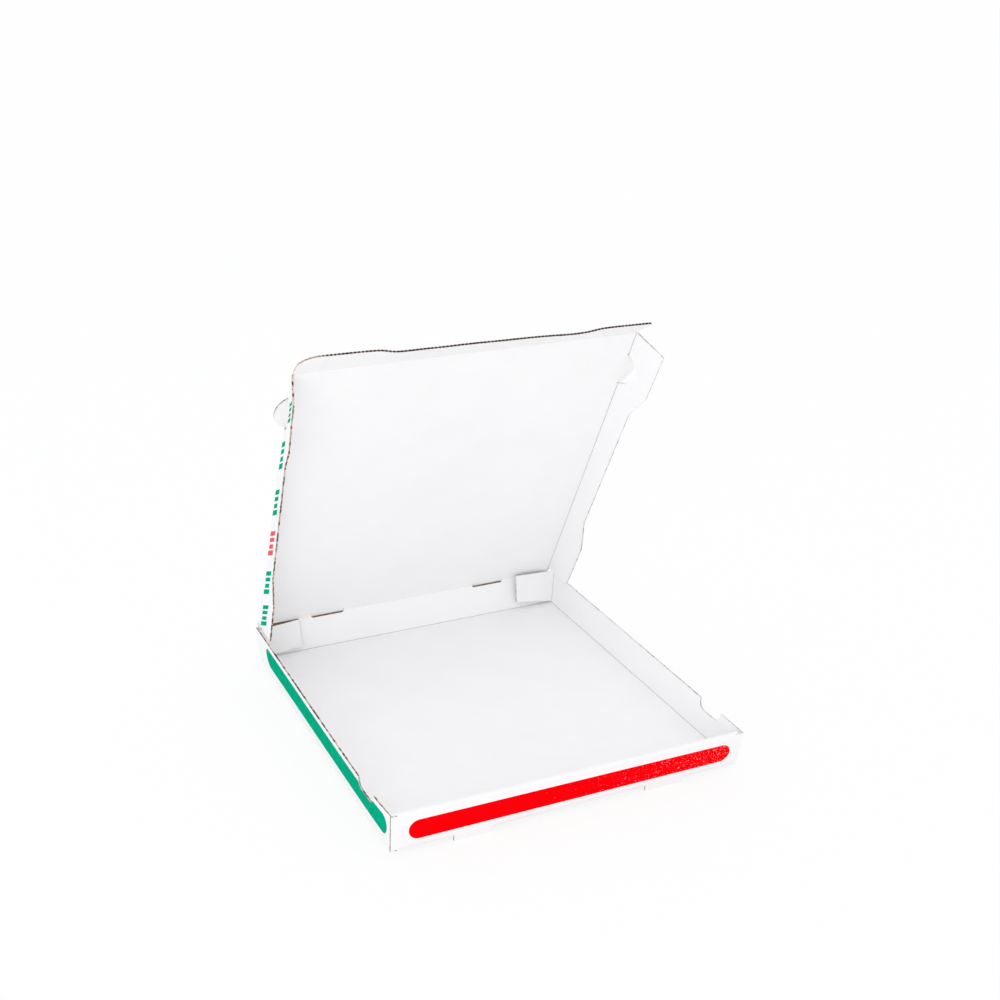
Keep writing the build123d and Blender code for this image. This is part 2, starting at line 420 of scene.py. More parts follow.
class BoardMesh:
    """Collects closed thin shells of board and writes them as one mesh object."""

    def __init__(self, blank: Blank) -> None:
        """Start with no faces.

        Args:
            blank: gives the thickness of board, liners and medium.
        """
        self.blank = blank
        self.points: list[Array] = []
        self.across: list[Array] = []
        self.quads: list[Array] = []
        self.plies: list[Array] = []
        self.count = 0

    def shell(self, outer: Array, inner: Array, across: Array, plies: tuple[int, int, int]) -> None:
        """Add a closed shell between two grids of points.

        Args:
            outer: grid of points on the outward side.
            inner: grid of points on the other side.
            across: flute coordinate on the grid.
            plies: material slots of the outward side, the other side and the rim.
        """
        m, n = outer.shape[:2]
        index = np.arange(m * n).reshape(m, n)
        top = np.stack([index[:-1, :-1], index[1:, :-1], index[1:, 1:], index[:-1, 1:]], axis=-1)
        top = top.reshape(-1, 4)
        ring = np.concatenate([index[:, 0], index[-1, 1:], index[-2::-1, -1], index[0, -2:0:-1]])
        following = np.roll(ring, -1)
        rim = np.stack([following, ring, ring + m * n, following + m * n], axis=-1)
        a, b, d = outer[:-1, :-1], outer[1:, :-1], outer[:-1, 1:]
        facing = (np.cross(b - a, d - a) * (outer - inner)[:-1, :-1]).sum()
        quads = np.concatenate([top, top[:, ::-1] + m * n, rim])
        self.quads.append((quads if facing > 0 else quads[:, ::-1]) + self.count)
        self.plies.append(np.repeat(plies, [len(top), len(top), len(rim)]))
        self.points += [outer.reshape(-1, 3), inner.reshape(-1, 3)]
        self.across += [across.ravel(), across.ravel()]
        self.count += 2 * m * n

    def layer(self, surface: Surface, high: Array | float, low: Array | float,
              plies: tuple[int, int, int]) -> None:
        """Add the closed shell between two heights over a middle surface.

        Args:
            surface: the middle surface.
            high, low: heights of the outward side and of the other side.
            plies: material slots of the outward side, the other side and the rim.
        """
        self.shell(surface.lifted(high), surface.lifted(low), surface.across, plies)

    def liners(self, surface: Surface) -> None:
        """Add the two paper liners of a board, one on each side of its middle surface.

        Args:
            surface: the middle surface.
        """
        half, inside = self.blank.half, self.blank.half - self.blank.liner
        self.layer(surface, half, inside, (Ply.OUTER, Ply.CUT, Ply.CUT))
        self.layer(surface, -inside, -half, (Ply.CUT, Ply.INNER, Ply.CUT))

    def lip(self, surface: Surface) -> None:
        """Add a piece of the outer liner alone, with its brown side inwards.

        Args:
            surface: the board's middle surface.
        """
        outer = self.blank.half - LIP_INSET
        plies = (Ply.OUTER, Ply.KRAFT, Ply.KRAFT)
        self.layer(surface, outer, outer - self.blank.liner, plies)

    def shade_strip(self, near: Array, far: Array, facing: Array) -> None:
        """Add a dull line of painted shade inside a fold, as a thin strip across its corner.

        Args:
            near, far: rows of points on the two boards that meet in the fold.
            facing: direction that the strip faces.
        """
        grid = np.stack([near, far], axis=1)
        middle = np.full(grid.shape[:2], 0.5)
        self.shell(grid + unit(facing) * SHADE_STRIP_FILM, grid, middle, (Ply.FOLD,) * 3)

    def solid(self, surface: Surface, thickness: float) -> None:
        """Add pressed board of an even thickness, with no flutes."""
        half = thickness / 2
        self.layer(surface, half, -half, (Ply.OUTER, Ply.INNER, Ply.CUT))

    def flutes(self, surface: Surface, ply: int = 0) -> None:
        """Add the medium: the middle surface moved by a sine of the flute coordinate.

        Args:
            surface: the middle surface.
            ply: material slot of the medium.
        """
        blank = self.blank
        half = blank.medium / 2
        swing = blank.half - blank.liner - half
        wave = swing * np.sin(2 * np.pi * surface.across / blank.flute_pitch)
        self.layer(surface, wave + half, wave - half, (ply,) * 3)

    def ink(self, surface: Surface, ply: int = 0) -> None:
        """Add a film of print on the outward face of a board."""
        half = self.blank.half
        self.layer(surface, half + INK_TOP, half + INK_FOOT, (ply,) * 3)

    def write(self, name: str, materials: list[bpy.types.Material]) -> bpy.types.Object:
        """Write the collected shells as a mesh object at the origin.

        Args:
            name: name of the piece.
            materials: one material for each slot.

        Returns:
            The new object, smooth except at its sharp edges.
        """
        mesh = bpy.data.meshes.new(name)
        points = np.concatenate(self.points) * MM
        mesh.from_pydata(points.tolist(), [], np.concatenate(self.quads).tolist())
        slots = np.concatenate(self.plies).astype(np.int32)
        mesh.polygons.foreach_set("material_index", slots)
        attribute = mesh.attributes.new("across", "FLOAT", "POINT")
        attribute.data.foreach_set("value", np.concatenate(self.across).astype(np.float32))
        for material in materials:
            mesh.materials.append(material)
        mesh.shade_smooth()
        mesh.set_sharp_from_angle(angle=np.radians(SHARP_ANGLE))
        mesh.update()
        piece = bpy.data.objects.new(name, mesh)
        bpy.context.scene.collection.objects.link(piece)
        LOG.info("piece %s: %d faces", name, len(mesh.polygons))
        return piece


class Nodes:
    """Short hand for building one material's node tree."""

    def __init__(self, name: str) -> None:
        """Make a new material with a lone shader and its output.

        Args:
            name: name of the material.
        """
        self.material = bpy.data.materials.new(name)
        self.material.use_nodes = True
        self.tree = self.material.node_tree
        self.shader = self.tree.nodes["Principled BSDF"]
        self.output = self.tree.nodes["Material Output"]

    def add(self, kind: str, **values: object) -> bpy.types.Node:
        """Add a node.

        Args:
            kind: type of the node.
            values: its properties by name, or else values of its input sockets.

        Returns:
            The new node.
        """
        node = self.tree.nodes.new(kind)
        for key, value in values.items():
            if hasattr(node, key):
                setattr(node, key, value)
            else:
                node.inputs[key.replace("_", " ")].default_value = value
        return node

    def link(self, source: Socket, target: Socket) -> None:
        """Join two sockets."""
        self.tree.links.new(source, target)

    def feed(self, target: Socket, value: object) -> None:
        """Join a socket to an input, or set a plain value there.

        Args:
            target: the input.
            value: a socket or a plain value.
        """
        if isinstance(value, Socket):
            self.link(value, target)
        else:
            target.default_value = value

    def noise(self, scale: float, detail: float = 3.0, roughness: float = 0.55) -> Socket:
        """Noise on Object coordinates.

        Args:
            scale: how fine it is, per metre.
            detail, roughness: number and strength of its finer layers.

        Returns:
            Its factor socket.
        """
        place = self.add("ShaderNodeTexCoord")
        noise = self.add("ShaderNodeTexNoise", Scale=scale, Detail=detail, Roughness=roughness)
        self.link(place.outputs["Object"], noise.inputs["Vector"])
        return noise.outputs["Fac"]

    def math(self, operation: str, first: object, second: object = 0.0) -> Socket:
        """A math node on sockets or numbers.

        Args:
            operation: what it does.
            first, second: its two inputs.

        Returns:
            Its result.
        """
        node = self.add("ShaderNodeMath", operation=operation)
        self.feed(node.inputs[0], first)
        self.feed(node.inputs[1], second)
        return node.outputs[0]

    def ramp(self, factor: Socket, places: tuple[float, ...],
             colours: tuple[Colour, ...]) -> Socket:
        """Colour ramp with a colour at each place.

        Args:
            factor: socket that picks the place.
            places: places from 0 to 1.
            colours: one colour for each place.

        Returns:
            Its colour socket.
        """
        node = self.add("ShaderNodeValToRGB")
        while len(node.color_ramp.elements) < len(places):
            node.color_ramp.elements.new(0.5)
        for element, place, colour in zip(node.color_ramp.elements, places, colours):
            element.position = place
            element.color = (*colour, 1.0)
        self.link(factor, node.inputs["Fac"])
        return node.outputs["Color"]

    def mix(self, share: Socket, first: object, second: object) -> Socket:
        """Mix two colours.

        Args:
            share: share of the second colour.
            first, second: sockets or plain colours.

        Returns:
            The colour first + (second - first) share.
        """
        node = self.add("ShaderNodeMix", data_type="RGBA")
        for slot, value in zip((MIX_SHARE, MIX_FIRST, MIX_SECOND), (share, first, second)):
            self.feed(node.inputs[slot], value)
        return node.outputs[MIX_RESULT]

    def share_of_x(self, low: float, high: float) -> Socket:
        """Share of the way from one x to another.

        Args:
            low, high: the two places, in metres.

        Returns:
            (x - low) / (high - low), kept within 0 and 1.
        """
        place = self.add("ShaderNodeTexCoord")
        split = self.add("ShaderNodeSeparateXYZ")
        self.link(place.outputs["Object"], split.inputs[0])
        node = self.add("ShaderNodeMapRange", clamp=True, From_Min=low, From_Max=high)
        self.link(split.outputs["X"], node.inputs["Value"])
        return node.outputs["Result"]

    def across(self) -> Socket:
        """The mesh's own coordinate across its flutes, or over its crease."""
        return self.add("ShaderNodeAttribute", attribute_name="across").outputs["Fac"]

    def flute_wave(self, pitch: float) -> Socket:
        """Sine of the coordinate across the flutes, one wave for each flute."""
        return self.math("SINE", self.math("MULTIPLY", self.across(), 2 * np.pi / pitch))

    def bump(self, height: Socket, distance: float) -> None:
        """Raise the surface by a height socket.

        Args:
            height: the socket.
            distance: height in metres for a value of 1.
        """
        node = self.add("ShaderNodeBump", Strength=1.0, Distance=distance)
        self.link(height, node.inputs["Height"])
        self.link(node.outputs["Normal"], self.shader.inputs["Normal"])

    def paper(self, colour: Socket, roughness: float, specular: float) -> None:
        """Give the shader its colour, its roughness and its specular level.

        Args:
            colour: socket of the colour.
            roughness, specular: plain values.
        """
        self.link(colour, self.shader.inputs["Base Color"])
        self.shader.inputs["Roughness"].default_value = roughness
        self.shader.inputs["Specular IOR Level"].default_value = specular


@dataclass(frozen=True)
class Grain:
    """Fibres of a paper: a noise on Object coordinates, and its height in metres."""

    scale: float
    detail: float
    roughness: float
    height: float

    def noise(self, nodes: Nodes) -> Socket:
        """The fibres' noise."""
        return nodes.noise(self.scale, self.detail, self.roughness)

    def lift(self, nodes: Nodes) -> None:
        """Raise a surface by the fibres alone."""
        nodes.bump(self.noise(nodes), self.height)


LINER_GRAIN = Grain(900.0, 4.0, 0.7, 0.00003)
KRAFT_GRAIN = Grain(420.0, 5.0, 0.65, 0.00006)
INK_GRAIN = Grain(900.0, 3.0, 0.6, 0.00002)


@dataclass(frozen=True)
class LinerFinish:
    """White paper liner: faint clouding, fibres, and the flutes showing through as soft ridges."""

    name: str
    pale: Colour
    dull: Colour
    roughness: float
    ridge: float
    specular: float = 0.3
    clouds: tuple[float, float] = (26.0, 4.0)
    clouding: tuple[float, float] = (0.3, 0.7)
    fibre_share: float = 1.2
    waves: tuple[float, float] = (55.0, 2.0)
    wave_share: float = 3.0

    def make(self, blank: Blank) -> bpy.types.Material:
        """Build the material.

        Args:
            blank: gives the flute pitch.

        Returns:
            The material, raised by a sum of its ridges, fibres and waves.
        """
        nodes = Nodes(self.name)
        colour = nodes.ramp(nodes.noise(*self.clouds), self.clouding, (self.dull, self.pale))
        nodes.paper(colour, self.roughness, self.specular)
        ridges = nodes.math("MULTIPLY", nodes.flute_wave(blank.flute_pitch), self.ridge)
        fibres = nodes.math("MULTIPLY", LINER_GRAIN.noise(nodes), self.fibre_share)
        waves = nodes.math("MULTIPLY", nodes.noise(*self.waves), self.wave_share)
        height = nodes.math("ADD", ridges, nodes.math("ADD", fibres, waves))
        nodes.bump(height, LINER_GRAIN.height)
        return nodes.material


@dataclass(frozen=True)
class CreaseShadeFinish:
    """Liner inside a crease: white paper with a line of painted shade along its middle."""

    name: str
    pale: Colour
    line: Colour
    roughness: float
    specular: float = 0.2
    edges: tuple[float, ...] = (0.28, 0.45, 0.55, 0.72)
    uneven_scale: float = 120.0
    uneven_share: float = 0.25

    def make(self) -> bpy.types.Material:
        """Build the material.

        Returns:
            The material, whose line follows the share of the way over the crease.
        """
        nodes = Nodes(self.name)
        uneven = nodes.math("SUBTRACT", nodes.noise(self.uneven_scale), NOISE_MIDDLE)
        share = nodes.math("ADD", nodes.across(), nodes.math("MULTIPLY", uneven, self.uneven_share))
        # The line colour is painted shade along the middle of the crease.
        colour = nodes.ramp(share, self.edges, (self.pale, self.line, self.line, self.pale))
        nodes.paper(colour, self.roughness, self.specular)
        LINER_GRAIN.lift(nodes)
        return nodes.material


@dataclass(frozen=True)
class KraftFinish:
    """Brown kraft paper of the fluted medium and of the liners' torn inner sides."""

    name: str
    light: Colour
    dark: Colour
    roughness: float = 0.9
    specular: float = 0.15
    mottling: tuple[float, float] = (0.32, 0.68)

    def make(self) -> bpy.types.Material:
        """Build the material.

        Returns:
            The material, mottled along its fibres.
        """
        nodes = Nodes(self.name)
        fibres = KRAFT_GRAIN.noise(nodes)
        colour = nodes.ramp(fibres, self.mottling, (self.dark, self.light))
        nodes.paper(colour, self.roughness, self.specular)
        nodes.bump(fibres, KRAFT_GRAIN.height)
        return nodes.material


@dataclass(frozen=True)
class RimFinish:
    """Cut along the flutes: kraft in dark dashes on the box's left, worn pale on its right."""

    name: str
    pale: Colour
    dark: Colour
    worn_pale: Colour
    worn_dark: Colour
    dashes: tuple[float, float, float] = (210.0, 3.0, 0.6)
    fresh_edges: tuple[float, float] = (0.42, 0.54)
    worn_edges: tuple[float, float] = (0.34, 0.5)
    wear: tuple[float, float] = (-0.05, 0.1)
    roughness: float = 0.9
    specular: float = 0.1

    def make(self) -> bpy.types.Material:
        """Build the material.

        Returns:
            The material, whose dashes are a noise and whose wear follows x.
        """
        nodes = Nodes(self.name)
        dash = nodes.noise(*self.dashes)
        fresh = nodes.ramp(dash, self.fresh_edges, (self.dark, self.pale))
        worn = nodes.ramp(dash, self.worn_edges, (self.worn_dark, self.worn_pale))
        colour = nodes.mix(nodes.share_of_x(*self.wear), fresh, worn)
        nodes.paper(colour, self.roughness, self.specular)
        KRAFT_GRAIN.lift(nodes)
        return nodes.material


@dataclass(frozen=True)
class FluteEndFinish:
    """Cut across the flutes: for every flute a dark hollow of painted shade and a pale end of
    paper.
    """

    name: str
    pale: Colour
    dark: Colour
    uneven_scale: float = 150.0
    uneven_middle: float = 0.42
    uneven_share: float = 2.4
    wear: tuple[float, float] = (-0.142, -0.126)
    wear_share: float = 3.0
    contrast: float = 0.25
    middle: float = 0.5
    edges: tuple[float, float] = (0.5, 0.8)
    roughness: float = 0.9
    specular: float = 0.1

    def make(self, blank: Blank) -> bpy.types.Material:
        """Build the material.

        Args:
            blank: gives the flute pitch.

        Returns:
            The material, dark with painted shade where a sine of the flute coordinate, unsettled by
            noise, is low, and pale all over at the worn left end.
        """
        nodes = Nodes(self.name)
        uneven = nodes.math("SUBTRACT", nodes.noise(self.uneven_scale), self.uneven_middle)
        uneven = nodes.math("MULTIPLY", uneven, self.uneven_share)
        worn = nodes.math("SUBTRACT", 1.0, nodes.share_of_x(*self.wear))
        worn = nodes.math("MULTIPLY", worn, self.wear_share)
        level = nodes.math("ADD", nodes.flute_wave(blank.flute_pitch), uneven)
        level = nodes.math("MULTIPLY", nodes.math("ADD", level, worn), self.contrast)
        level = nodes.math("ADD", level, self.middle)
        # The dark colour is painted shade inside the flute hollows.
        colour = nodes.ramp(level, self.edges, (self.dark, self.pale))
        nodes.paper(colour, self.roughness, self.specular)
        KRAFT_GRAIN.lift(nodes)
        return nodes.material


@dataclass(frozen=True)
class InkFinish:
    """Printing ink on paper: slight mottle, and pinholes that let the paper show."""

    name: str
    full: Colour
    thin: Colour
    pinholes: float
    mottle: tuple[float, float] = (160.0, 4.0)
    mottling: tuple[float, float] = (0.35, 0.75)
    thinning: tuple[float, float] = (-0.135, 0.145)
    thinness: tuple[float, float] = (0.55, 0.6)
    specks: tuple[float, float, float] = (1700.0, 1.0, 0.4)
    bare: Colour = (0.86, 0.85, 0.86)
    roughness: float = 0.8
    specular: float = 0.0

    def make(self) -> bpy.types.Material:
        """Build the material.

        Returns:
            The material, with pinholes where a fine noise passes a limit that falls with x.
        """
        nodes = Nodes(self.name)
        ink = nodes.ramp(nodes.noise(*self.mottle), self.mottling, (self.full, self.thin))
        least, growth = self.thinness
        thinness = nodes.math("MULTIPLY", nodes.share_of_x(*self.thinning), growth)
        thinness = nodes.math("ADD", thinness, least)
        limit = nodes.math("SUBTRACT", 1.0, nodes.math("MULTIPLY", thinness, self.pinholes))
        holes = nodes.math("GREATER_THAN", nodes.noise(*self.specks), limit)
        nodes.paper(nodes.mix(holes, ink, (*self.bare, 1.0)), self.roughness, self.specular)
        INK_GRAIN.lift(nodes)
        return nodes.material


def stations(low: float, high: float, step: float, extra: list[float] | Array = ()) -> Array:
    """Even stations from low to high, with extra ones put in where they fall between.

    Args:
        low, high: first and last station.
        step: about how far apart the even ones lie.
        extra: places to put in.

    Returns:
        The stations in order, each place once.
    """
    even = np.linspace(low, high, max(2, int(round((high - low) / step)) + 1))
    extra = np.asarray(extra, dtype=float)
    inside = extra[(extra > low + SAME_PLACE) & (extra < high - SAME_PLACE)]
    return np.unique(np.concatenate([even, inside]).round(PLACE_DIGITS))


def steps_of(places: list[float] | Array) -> Array:
    """A pair of stations a hair apart at each place, for an upright step in an outline."""
    places = np.asarray(places, dtype=float)
    return np.concatenate([places - STEP_HAIR, places + STEP_HAIR])


def corner_cut(inset: Array, radius: float) -> Array:
    """How far a rounded corner falls short of its square one.

    Args:
        inset: distance from the end of the edge.
        radius: radius of the corner.

    Returns:
        radius - sqrt(radius^2 - (radius - inset)^2) within the corner, and zero past it.
    """
    lack = np.clip(radius - inset, 0.0, radius)
    return radius - np.sqrt(radius**2 - lack**2)


def half_moon(place: Array, half_chord: float, reach: float) -> Array:
    """Height of a circle's cap over its chord.

    Args:
        place: distance from the middle of the chord.
        half_chord: half the length of the chord.
        reach: height of the cap at its middle.

    Returns:
        reach - R + sqrt(R^2 - place^2) with R the circle's radius, and zero outside the chord.
    """
    radius = (half_chord**2 + reach**2) / (2 * reach)
    cap = reach - radius + np.sqrt(np.maximum(radius**2 - place**2, 0.0))
    return np.where(np.abs(place) < half_chord, np.maximum(cap, 0.0), 0.0)


def round_cut(middle: float, width: float, corner: float, count: int) -> Array:
    """Stations at the round corners and the upright sides of a cut.

    Args:
        middle: place of the cut's middle.
        width: its width.
        corner: radius of its corners.
        count: stations on each corner.

    Returns:
        middle +- (width / 2 - corner (1 - sin a)) for even angles a, and a step at each side.
    """
    half = width / 2
    bend = half - corner * (1 - np.sin(np.linspace(0, np.pi / 2, count)))
    sides = steps_of([middle - half, middle + half])
    return np.concatenate([middle - bend, middle + bend, sides])


def even_rows(count: int, low: float, high: float, steps: int) -> Array:
    """Grid of equal rows, each with even steps from low to high."""
    return np.broadcast_to(np.linspace(low, high, steps), (count, steps))


def humps(x: Array, rows: tuple[tuple[float, float, float], ...]) -> Array:
    """Sum of rise exp(-((x - place) / width)^2) over rows of place, width and rise."""
    return sum(rise * np.exp(-((x - place) / width) ** 2) for place, width, rise in rows)


@dataclass
class Paints:
    """The finished materials, shared by all sub-assemblies."""

    outer: bpy.types.Material
    inner: bpy.types.Material
    cut: bpy.types.Material
    rim: bpy.types.Material
    flute_ends: bpy.types.Material
    medium: bpy.types.Material
    crease: bpy.types.Material
    red: bpy.types.Material
    red_flap: bpy.types.Material
    green: bpy.types.Material

    @property
    def board(self) -> list[bpy.types.Material]:
        """Materials of a board in the order of its plies."""
        return [self.outer, self.inner, self.cut]

    @property
    def walls(self) -> list[bpy.types.Material]:
        """Materials of a board with worn rims and painted shade in its folds, in the order of its
        plies.
        """
        return [self.outer, self.inner, self.rim, self.crease, self.medium]

    @property
    def tuck(self) -> list[bpy.types.Material]:
        """Materials of a board cut across its flutes in the order of its plies."""
        return [self.outer, self.inner, self.flute_ends]

    @property
    def fold(self) -> list[bpy.types.Material]:
        """Materials of a creased strip in the order of its plies, with painted shade along the
        crease.
        """
        return [self.outer, self.crease, self.cut]


def settle(piece: bpy.types.Object, body: str, node: str | None = None) -> None:
    """Let a piece ride on a body and stand for a node if it has one.

    Args:
        piece: the piece.
        body: body that it rides on.
        node: node that it stands for, or none.
    """
    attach(piece, body)
    if node:
        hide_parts(node)


def bend_between(piece: bpy.types.Object, strip: Array) -> None:
    """Bake a creased piece's transform into its mesh.

    Args:
        piece: the creased strip.
        strip: row of points over the crease; not used.
    """
    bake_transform(piece)


@dataclass
class Tray:
    """Floor and four walls folded from one sheet, with notches, corner flaps and front locks."""

    blank: Blank
    paints: Paints
    notch_width: float = 31.0
    notch_depth: float = 9.0
    notch_corner: float = 7.0
    notch_from_front: float = 43.5
    front_corner_length: float = 34.0
    back_corner_length: float = 40.0
    back_corner_sink: float = 1.5
    back_corner_headroom: float = 0.6
    left_corner_lift: float = 3.0
    right_corner_lift: float = 6.0
    left_stand_off: float = 0.4
    right_stand_off: float = 1.4
    loose_corner_angle: float = 4.0
    tongue_width: float = 33.0
    tongue_length: float = 4.2
    tongue_spacing: float = 165.0
    slot_depth: float = 5.4
    lock_width: float = 28.0
    window_width: float = 32.0
    window_depth: float = 3.3
    window_corner: float = 2.2
    window_spacing: float = 163.5
    window_lip: float = 2.1
    shade_strip_width: float = 0.22
    loose_fold_rise: float = 3.9
    loose_free_rise: float = 5.0
    loose_foot: float = 2.0
    loose_keep: float = 0.72
    gap_shade_depth: float = 6.0
    front_overrun: float = 4.0
    back_overrun: float = 6.0
    rim_depth: float = 7.0
    rim_seed: float = 1.0
    strip_margin: float = 2.0
    strip_depth: float = 6.0
    tongue_flutes: float = 3.0
    end_inset: float = 0.1
    end_flutes: float = 4.0
    end_drift: float = 2.5
    end_seed: float = 0.4
    band_margin: float = 0.25

    def stand_off(self, side: Side) -> float:
        """Gap between the back wall and the corner flap inside it."""
        return self.right_stand_off if side is Side.RIGHT else self.left_stand_off

    def floor(self) -> Surface:
        """Flat floor, its front edge set back at the two slots.

        Returns:
            The floor at half a board's height, with flutes from front to back.
        """
        b = self.blank
        half = self.tongue_width / 2 + b.layer_gap
        edges = [side.value * self.tongue_spacing / 2 + end * half
                 for side in Side for end in (-1, 1)]
        x = stations(-b.floor_half_width, b.floor_half_width, FLOOR_STEP, steps_of(edges))
        from_slot = np.abs(np.abs(x) - self.tongue_spacing / 2)
        in_slot = from_slot < half
        front = np.where(in_slot, self.slot_depth - b.tray_depth / 2, -b.floor_half_depth)
        share = np.linspace(0, 1, FLOOR_ROWS)
        y = front[:, None] + (b.floor_half_depth - front)[:, None] * share
        xx = np.broadcast_to(x[:, None], y.shape)
        points = np.stack([xx, y, np.full(y.shape, b.half)], axis=-1)
        return Surface(points, np.broadcast_to([0.0, 0.0, -1.0], points.shape), xx)

    def notch_left(self, y: Array) -> Array:
        """Height that the finger notch leaves of a side wall: flat, with two round corners.

        Args:
            y: places along the wall.

        Returns:
            The heights, without limit outside the notch.
        """
        from_middle = np.abs(y - (self.notch_from_front - self.blank.tray_depth / 2))
        inset = self.notch_width / 2 - from_middle
        left = self.blank.side_height - self.notch_depth + corner_cut(inset, self.notch_corner)
        return np.where(inset > 0, left, np.inf)

    def wall_stations(self) -> Array:
        """Stations along a side wall's rim.

        Returns:
            Places over the wall's span, close together at the notch.
        """
        middle = self.notch_from_front - self.blank.tray_depth / 2
        places = round_cut(middle, self.notch_width, self.notch_corner, NOTCH_POINTS)
        return stations(*self.wall_span, RIM_STEP, places)

    @property
    def wall_span(self) -> tuple[float, float]:
        """First and last place along a side wall's rim."""
        half = self.blank.tray_depth / 2
        return -half - self.front_overrun, half + self.back_overrun

    def wall_place(self, side: Side, y: Array, run: Array) -> tuple[Array, Array]:
        """Points and outward normals of a side wall.

        Args:
            side: which wall.
            y: places along the rim, one per station.
            run: heights up the wall on a grid of stations x steps.

        Returns:
            foot + (sin lean, cos lean) run, with y squeezed to lie between the two corner flaps.
        """
        b = self.blank
        lean = b.side_lean(side, y)[:, None]
        x = b.tray_width / 2 - b.half + np.sin(lean) * run
        z = b.half + np.cos(lean) * run
        points = np.stack([side.value * x, self.squeezed(side, y, z), z], axis=-1)
        normals = np.stack([side.value * np.cos(lean), 0 * lean, -np.sin(lean)], axis=-1)
        return points, np.broadcast_to(normals, points.shape)

    def squeezed(self, side: Side, y: Array, z: Array) -> Array:
        """Move rim places so that the wall's ends lie along the front wall and the back wall.

        Args:
            side: which wall.
            y: rim places, one per station.
            z: heights on a grid of stations x steps.

        Returns:
            Places between the two ends at each height, in the same shares as along the rim.
        """
        b = self.blank
        front_lean = float(b.front_lean(side.value * b.tray_width / 2))
        back_lean = np.radians(b.back_lean)
        rise, foot = z - b.half, b.tray_depth / 2 - b.half
        front_gap, back_gap = b.layer_pitch - b.half, self.stand_off(side) + b.half
        front = (front_gap - rise * np.sin(front_lean)) / np.cos(front_lean) - foot
        back = foot - (back_gap - rise * np.sin(back_lean)) / np.cos(back_lean)
        first, last = self.wall_span
        return front + (back - front) * (y - first)[:, None] / (last - first)

    def rim_run(self, side: Side, y: Array) -> Array:
        """Length of a side wall from its fold to its rim.

        Args:
            side: which wall.
            y: places along the rim.

        Returns:
            The wall's length, or what the notch leaves of it.
        """
        b = self.blank
        notch = (self.notch_left(y) - b.half) / np.cos(b.side_lean(side, y))
        return np.minimum(b.side_height - b.half, notch)

    def side_wall(self, side: Side) -> Surface:
        """Side wall with the fold at its foot.

        Args:
            side: which wall.

        Returns:
            A folded path at each station of the rim, with flutes along the wall.
        """
        b = self.blank
        y = self.wall_stations()
        lean = b.side_lean(side, y)
        rim = self.rim_run(side, y)
        start = np.broadcast_to([b.floor_half_width - OVERLAP, b.half], (len(y), 2))
        foot = np.broadcast_to([b.tray_width / 2 - b.half, b.half], (len(y), 2))
        top = foot + np.stack([np.sin(lean), np.cos(lean)], axis=-1) * rim[:, None]
        path, normal, run = folded_path(np.stack([start, foot, top], axis=1), b.bend, SIDE_STEPS)
        x, z = side.value * path[..., 0], path[..., 1]
        points = np.stack([x, self.squeezed(side, y, z), z], axis=-1)
        normals = np.stack([side.value * normal[..., 0], 0 * run, normal[..., 1]], axis=-1)
        return Surface(points, normals, run)

    def rim_strip(self, side: Side) -> Surface:
        """Top strip of a side wall, fine enough to show its flutes at the rim.

        Args:
            side: which wall.

        Returns:
            The strip below the rim, its flutes drifting across the cut.
        """
        y = self.wall_stations()
        run = self.rim_run(side, y)[:, None] - self.rim_depth * np.linspace(1, 0, RIM_ROWS)
        points, normals = self.wall_place(side, y, run)
        return Surface(points, normals, run + wander(points[..., 1], self.rim_seed + side.value))

    def front_frame(self, x: Array) -> tuple[Array, Array, Array]:
        """Frame of the front wall.

        Args:
            x: stations.

        Returns:
            Foot points, upward directions and inward directions at each x.
        """
        b = self.blank
        lean = b.front_lean(x)
        flat = np.zeros_like(lean)
        foot = np.stack([x, flat + b.half - b.tray_depth / 2, flat + b.half], axis=-1)
        up = np.stack([flat, -np.sin(lean), np.cos(lean)], axis=-1)
        return foot, up, np.stack([flat, np.cos(lean), np.sin(lean)], axis=-1)

    def front_wall(self, x: Array, tongue: bool) -> Surface:
        """Front wall from the floor or a tongue's end, over its rim, to the inner panel's foot.

        Args:
            x: stations.
            tongue: whether these stations lie on a tongue, which goes straight down past the floor.

        Returns:
            The folded surface, whose flutes run up and down.
        """
        b = self.blank
        lean = b.front_lean(x)
        up = np.stack([np.sin(lean), np.cos(lean)], axis=-1)
        inward = np.stack([-np.cos(lean), np.sin(lean)], axis=-1)
        foot = np.broadcast_to([b.tray_depth / 2 - b.half, b.half], (len(x), 2))
        top = foot + up * (b.front_height - b.board)
        rim = top + inward * (2 * b.layer_pitch)
        bottom = rim - up * (b.front_height - b.board - b.layer_low)
        if tongue:
            end = foot - up * (self.tongue_length + b.half)
            corners, steps = [end, top, rim, bottom], TONGUE_STEPS
        else:
            start = np.broadcast_to([b.floor_half_depth - OVERLAP, b.half], (len(x), 2))
            corners, steps = [start, foot, top, rim, bottom], FRONT_STEPS
        path, normal, run = folded_path(np.stack(corners, axis=1), b.bend, steps)
        xx = np.broadcast_to(x[:, None], run.shape)
        points = np.stack([xx, -path[..., 0], path[..., 1]], axis=-1)
        return Surface(points, np.stack([0 * run, -normal[..., 0], normal[..., 1]], axis=-1), xx)

    def front_panel(self, x: Array, run: Array, layer: float = 0.0) -> Surface:
        """Flat strip in one layer of the front wall.

        Args:
            x: stations.
            run: heights up the wall on a grid of stations x steps.
            layer: which layer, from 0 outside to 2 inside.

        Returns:
            foot + up run, moved inwards by the layer, with flutes up and down.
        """
        foot, up, inward = self.front_frame(x)
        foot = foot + inward * (layer * self.blank.layer_pitch)
        points = foot[:, None] + up[:, None] * run[..., None]
        across = np.broadcast_to(x[:, None], run.shape)
        return Surface(points, np.broadcast_to(-inward[:, None], points.shape), across)

